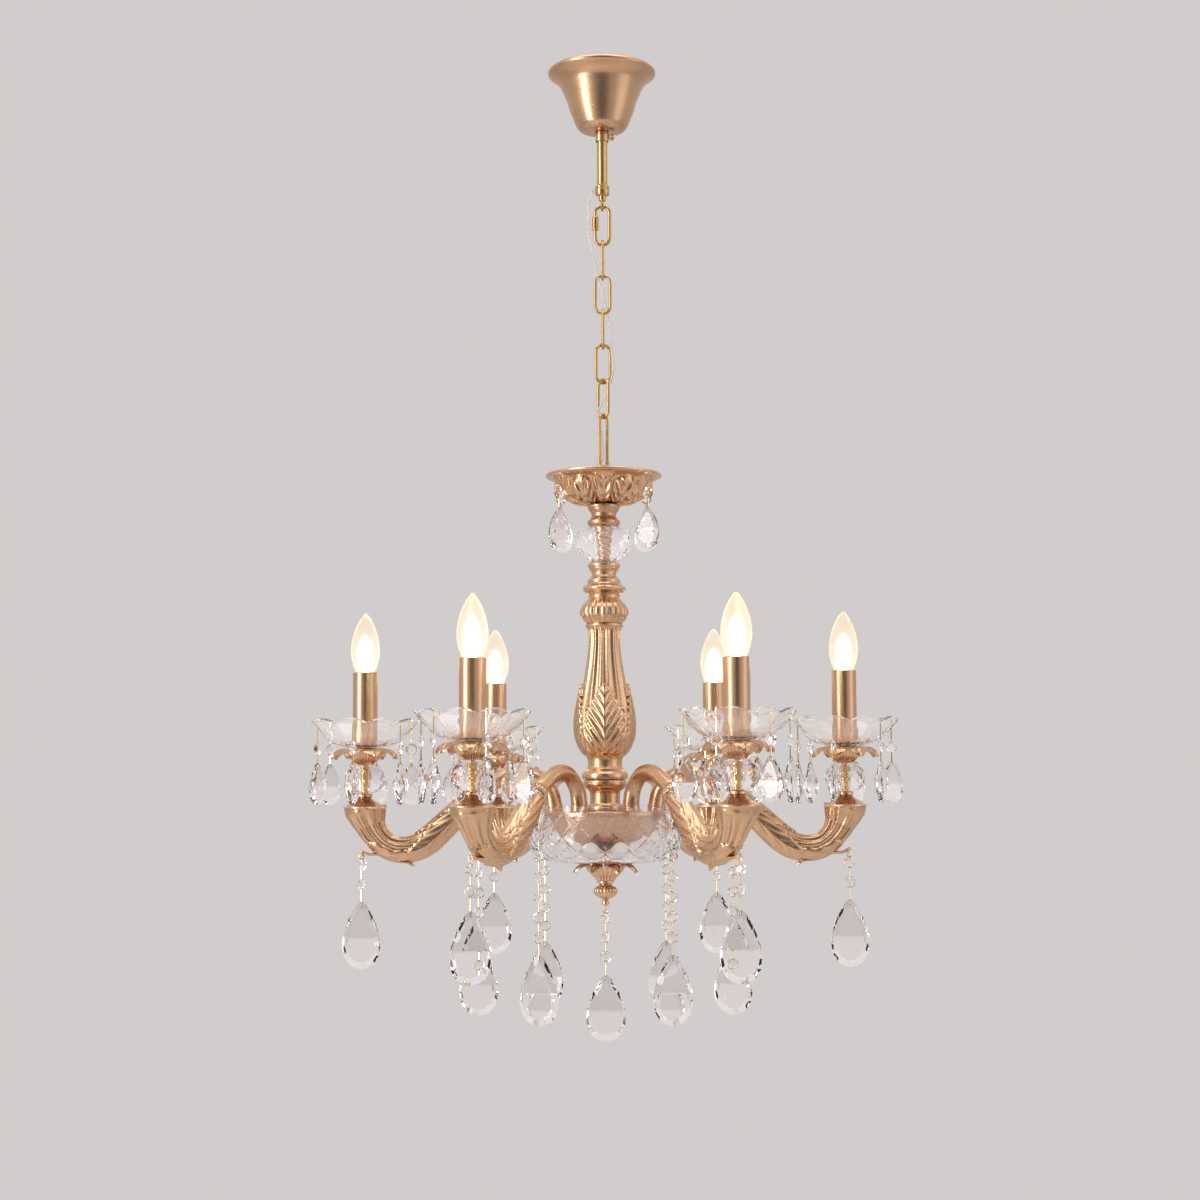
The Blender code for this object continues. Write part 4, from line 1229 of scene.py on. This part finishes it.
def drop_mesh(top, low, half_wide, half_thick):
    """A pear-shaped cut drop whose broad faces look along Y."""
    tall = top - low
    ring = list(DROP_OUTLINE) + [(-x, z) for x, z in reversed(DROP_OUTLINE[1:-1])]
    work = bmesh.new()

    def table(side):
        corners = []
        for x, z in ring:
            inner = DROP_BREAK + (z - DROP_BREAK) * TABLE_TALL
            lean = (inner / DROP_BREAK if inner < DROP_BREAK
                    else 1.0 - (inner - DROP_BREAK) / (1.0 - DROP_BREAK))
            depth = half_thick * (0.30 + 0.70 * lean)
            corners.append(work.verts.new((MM * x * half_wide * TABLE_WIDE, side * MM * depth,
                                           MM * (top - inner * tall))))
        return corners

    def girdle(side):
        return [work.verts.new((MM * x * half_wide, side * MM * GIRDLE, MM * (top - z * tall)))
                for x, z in ring]

    front, front_edge, back_edge, back = table(-1), girdle(-1), girdle(1), table(1)
    count = len(ring)
    for near, far in ((front, front_edge), (front_edge, back_edge), (back_edge, back)):
        for i in range(count):
            after = (i + 1) % count
            work.faces.new((near[i], near[after], far[after], far[i]))
    split = next(i for i, (x, z) in enumerate(ring) if z >= DROP_BREAK)
    for face in (front, back):
        upper = face[:split + 1] + face[count - split:]
        lower = face[split:count - split + 1]
        work.faces.new(upper)
        work.faces.new(lower)
    bmesh.ops.recalc_face_normals(work, faces=work.faces)
    mesh = bpy.data.meshes.new("drop")
    work.to_mesh(mesh)
    work.free()
    return mesh


def bead_mesh(centre):
    """An eight-sided cut bead with a flat table on each face."""
    rows = []
    for y, share in ((-1.0, 0.52), (-0.16, 1.0), (0.16, 1.0), (1.0, 0.52)):
        row = []
        for i in range(8):
            around = TAU * (i + 0.5) / 8
            row.append((share * BEAD_RADIUS * math.cos(around), y * BEAD_HALF_THICK,
                        centre + share * BEAD_RADIUS * math.sin(around)))
        rows.append(row)
    return skin(rows)


def pin_mesh(top, low):
    """A bent gold pin: a straight shank with a small knot at each end."""
    points = [(0.0, 0.0, z) for z in (top, top - 0.8, top - 1.6, low + 1.6, low + 0.8, low)]
    return wire(points, [0.7, 1.3, 0.9, 0.9, 1.3, 0.7], 8)


def string_parts(hook, beads, drop_top, drop_low, half_wide, plane=0.0, facing=0.0):
    """Ring, pins, beads and drop of one hanging string, below a hook height."""
    ring_z = hook - 3.3
    parts = [(ring_wire(2.6, 0.8, (0.0, 0.0, ring_z), plane, 16, 8), 1)]
    stops = [ring_z - 2.4, *beads, drop_top - 1.0]
    for above, below in zip(stops, stops[1:]):
        start = above if above == stops[0] else above - 3.2
        end = below if below == stops[-1] else below + 3.2
        parts.append((pin_mesh(start, end), 1))
    for k, z in enumerate(beads):
        parts.append((bead_mesh(z), 0, turned_by(facing + 24.0 * math.sin(2.1 * k + z))))
    parts.append((drop_mesh(drop_top, drop_low, half_wide, 8.0), 0, turned_by(facing)))
    parts.append((pin_mesh(drop_top + 0.6, drop_top - 7.0), 1))
    return parts


print("points on a drop's outline:", len(DROP_OUTLINE))

# %% [markdown]
# ## Strings under the arms and the centre
# Seven of these strings swing on hinges of their own. Six more hang from the ring on each
# arm and ride on the fixture. Each drop is turned a little its own way, as they hang.

# %% Hanging strings
OUTER_RADIUS, INNER_RADIUS = 283.0, 147.0


def add_strings():
    outer_facings = (4.0, -8.0, 10.0, -5.0, 12.0, -12.0)
    for number, facing in enumerate(outer_facings):
        degrees = 60.0 * number
        parts = string_parts(-937.6, (-950.0, -972.4), -992.0, -1070.0, 22.5, degrees, facing)
        place = round_axis(degrees, OUTER_RADIUS) @ at(turn=-degrees)
        show(f"outer_string_{number + 1}", gathered(parts), f"arm_pendant_{number + 1}",
             [CRYSTAL, PIN], f"arm_pendant_{number + 1}", place=place, crease=6.0)
    inner_beads = [-916.0 - 22.4 * k for k in range(6)]
    inner_facings = (-14.0, 16.0, -9.0, 7.0, -18.0, 12.0)
    for number, facing in enumerate(inner_facings):
        degrees = 60.0 * number
        parts = string_parts(-896.0, inner_beads, -1046.0, -1124.0, 22.5, degrees, facing)
        hook = [(150.0, 0.0, -881.0), (148.6, 0.0, -887.0), (147.2, 0.0, -894.4),
                (147.0, 0.0, -899.0)]
        parts.append((wire([(x - INNER_RADIUS, y, z) for x, y, z in hook], 0.8, 8), 1,
                      turned_by(degrees)))
        place = round_axis(degrees, INNER_RADIUS) @ at(turn=-degrees)
        show(f"inner_string_{number + 1}", gathered(parts), "fixture", [CRYSTAL, PIN],
             place=place, crease=6.0)
    centre = string_parts(-1001.2, (-1012.6, -1034.6, -1056.6), -1077.0, -1153.6, 23.0)
    show("centre_string", gathered(centre), "centre_pendant", [CRYSTAL, PIN],
         "centre_pendant", crease=6.0)


add_strings()
print("strings: 13")

# %% [markdown]
# ## Small drops round the dishes and the crown
# Each glass dish carries six small drops on gold pins through holes near its rim, and four
# more hang from the crown. They are gathered into one piece per dish.

# %% Small drops
SMALL_DROP = 49.0


def small_drop(reach, top, facing, pin):
    """A pin, a bead and a small drop at a distance out, hanging from a height."""
    place = at(reach, facing)
    bead = top - pin - 7.0
    drop = drop_mesh(bead - 16.0, bead - 16.0 - SMALL_DROP, 0.29 * SMALL_DROP, 5.2)
    return [
        (pin_mesh(top + 2.0, top - pin), 1, place),
        (bead_mesh(bead), 0, place),
        (pin_mesh(bead - 5.0, bead - 21.0), 1, place),
        (drop, 0, place)]


def ring_of_drops(angles, reach, top, seed, pin=25.0):
    parts = []
    for k, degrees in enumerate(angles):
        facing = 70.0 * math.sin(12.9 * (k + 1) + 4.1 * seed)
        for mesh, number, place in small_drop(reach, top, facing - degrees, pin):
            parts.append((mesh, number, turned_by(degrees) @ place))
    return gathered(parts)


DROP_TURNS = (10.0, 34.0, 22.0, 22.0, 48.0, 4.0)
CROWN_DROP_ANGLES = (-24.0, 27.0, 154.0, 203.0)


def add_small_drops():
    for number, turn in enumerate(DROP_TURNS):
        mesh = ring_of_drops([turn + 60.0 * k for k in range(6)], 56.5, -784.0, number)
        show(f"dish_drops_{number + 1}", mesh, "fixture", [CRYSTAL, PIN],
             place=round_axis(60.0 * number, LAMP_RADIUS) @ at(turn=-60.0 * number),
             crease=6.0)
    crown = ring_of_drops(CROWN_DROP_ANGLES, 56.5, -503.0, 9, pin=9.0)
    show("crown_drops", crown, "fixture", [CRYSTAL, PIN], crease=6.0)


add_small_drops()
print("small drops:", 6 * len(DROP_TURNS) + len(CROWN_DROP_ANGLES))

# %% [markdown]
# ## Studio
# The fixture hangs in a pale room. A tall narrow softbox at the left draws the bright
# stripe on every round piece, a broad weak one at the right fills the other side, and a
# darker strip of room behind the camera gives the metal its dark core line. The sky of
# the world does the rest, and the plain floor lies a room's height below.

# %% World, lights and floor
FLOOR_RADIUS, FLOOR_Z = 2800.0, -2400.0
PALE = (0.638, 0.610, 0.604)
ROOM_TINT = (1.03, 0.985, 0.975)
# each is a span of direction, then the brightness at its two ends
ROOM_BY_HEIGHT = (-1.0, 1.0, 0.38, 0.88)
DARK_STRIP = (-0.985, -0.89, 0.20, 1.0)
SEEN_THROUGH_GLASS = (-0.30, 0.30, 0.53, 0.80)


def add_world():
    """The room round the fixture: one look for metal, one through glass, one behind it."""
    world = bpy.data.worlds.new("studio_room")
    bpy.context.scene.world = world
    world.use_nodes = True
    tree = world.node_tree
    tree.nodes.clear()
    add, join = tree.nodes.new, tree.links.new
    facing = add("ShaderNodeTexCoord")
    parts = add("ShaderNodeSeparateXYZ")
    join(facing.outputs["Generated"], parts.inputs["Vector"])
    level = add("ShaderNodeCombineXYZ")
    join(parts.outputs["X"], level.inputs["X"])
    join(parts.outputs["Y"], level.inputs["Y"])
    unit = add("ShaderNodeVectorMath")
    unit.operation = "NORMALIZE"
    join(level.outputs["Vector"], unit.inputs[0])
    heading = add("ShaderNodeSeparateXYZ")
    join(unit.outputs["Vector"], heading.inputs["Vector"])

    def ramp(source, *limits):
        found = add("ShaderNodeMapRange")
        for socket, value in zip(("From Min", "From Max", "To Min", "To Max"), limits):
            found.inputs[socket].default_value = value
        join(source, found.inputs["Value"])
        return found.outputs["Result"]

    amount = add("ShaderNodeMath")
    amount.operation = "MULTIPLY"
    join(ramp(parts.outputs["Z"], *ROOM_BY_HEIGHT), amount.inputs[0])
    join(ramp(heading.outputs["Y"], *DARK_STRIP), amount.inputs[1])
    chosen = add("ShaderNodeMix")
    join(amount.outputs["Value"], chosen.inputs["A"])
    join(ramp(parts.outputs["Z"], *SEEN_THROUGH_GLASS), chosen.inputs["B"])
    room, plain = add("ShaderNodeBackground"), add("ShaderNodeBackground")
    room.inputs["Color"].default_value = (*ROOM_TINT, 1.0)
    join(chosen.outputs["Result"], room.inputs["Strength"])
    plain.inputs["Color"].default_value = (*PALE, 1.0)
    seen, mix, out = add("ShaderNodeLightPath"), add("ShaderNodeMixShader"), add(
        "ShaderNodeOutputWorld")
    join(seen.outputs["Is Transmission Ray"], chosen.inputs["Factor"])
    join(seen.outputs["Is Camera Ray"], mix.inputs["Fac"])
    join(room.outputs["Background"], mix.inputs[1])
    join(plain.outputs["Background"], mix.inputs[2])
    join(mix.outputs["Shader"], out.inputs["Surface"])


def add_softbox(name, place, size, power, target=(0.0, 0.0, -0.65)):
    light = bpy.data.lights.new(name, "AREA")
    light.shape = "RECTANGLE"
    light.size, light.size_y = size
    light.energy = power
    softbox = bpy.data.objects.new(name, light)
    bpy.context.scene.collection.objects.link(softbox)
    away = Vector(place) - Vector(target)
    softbox.rotation_euler = away.to_track_quat("Z", "Y").to_euler()
    softbox.location = place
    softbox.visible_camera = False


def add_floor():
    mesh = skin([[(FLOOR_RADIUS * math.cos(TAU * i / 96), FLOOR_RADIUS * math.sin(TAU * i / 96), z)
                  for i in range(96)] for z in (FLOOR_Z, FLOOR_Z - 20.0)])
    made = new_finish("pale_floor")
    speck = grain(made, 6.0)
    vary(made, speck, "Roughness", 0.7, 0.85)
    tint(made, speck, [(0.3, (0.80, 0.77, 0.76)), (0.7, (0.78, 0.75, 0.74))])
    mesh.materials.append(made)
    floor = bpy.data.objects.new("floor", mesh)
    bpy.context.scene.collection.objects.link(floor)


def set_view_colours():
    bpy.context.scene.view_settings.view_transform = "Standard"


add_world()
add_softbox("left_stripe", (-1.85, -1.25, -0.5), (0.55, 2.8), 34.0)
add_softbox("right_fill", (2.3, -0.9, -0.5), (1.4, 2.6), 8.0)
add_softbox("overhead", (0.0, -0.4, 1.3), (1.8, 1.8), 18.0, (0.0, 0.0, -1.0))
add_floor()
set_view_colours()
print("lights: 3")

# %% [markdown]
# ## Box corners
# A small helper turns the corners of a box into plain numbers.

# %% Sizes
def corners(box):
    return [[float(value) for value in corner] for corner in box]
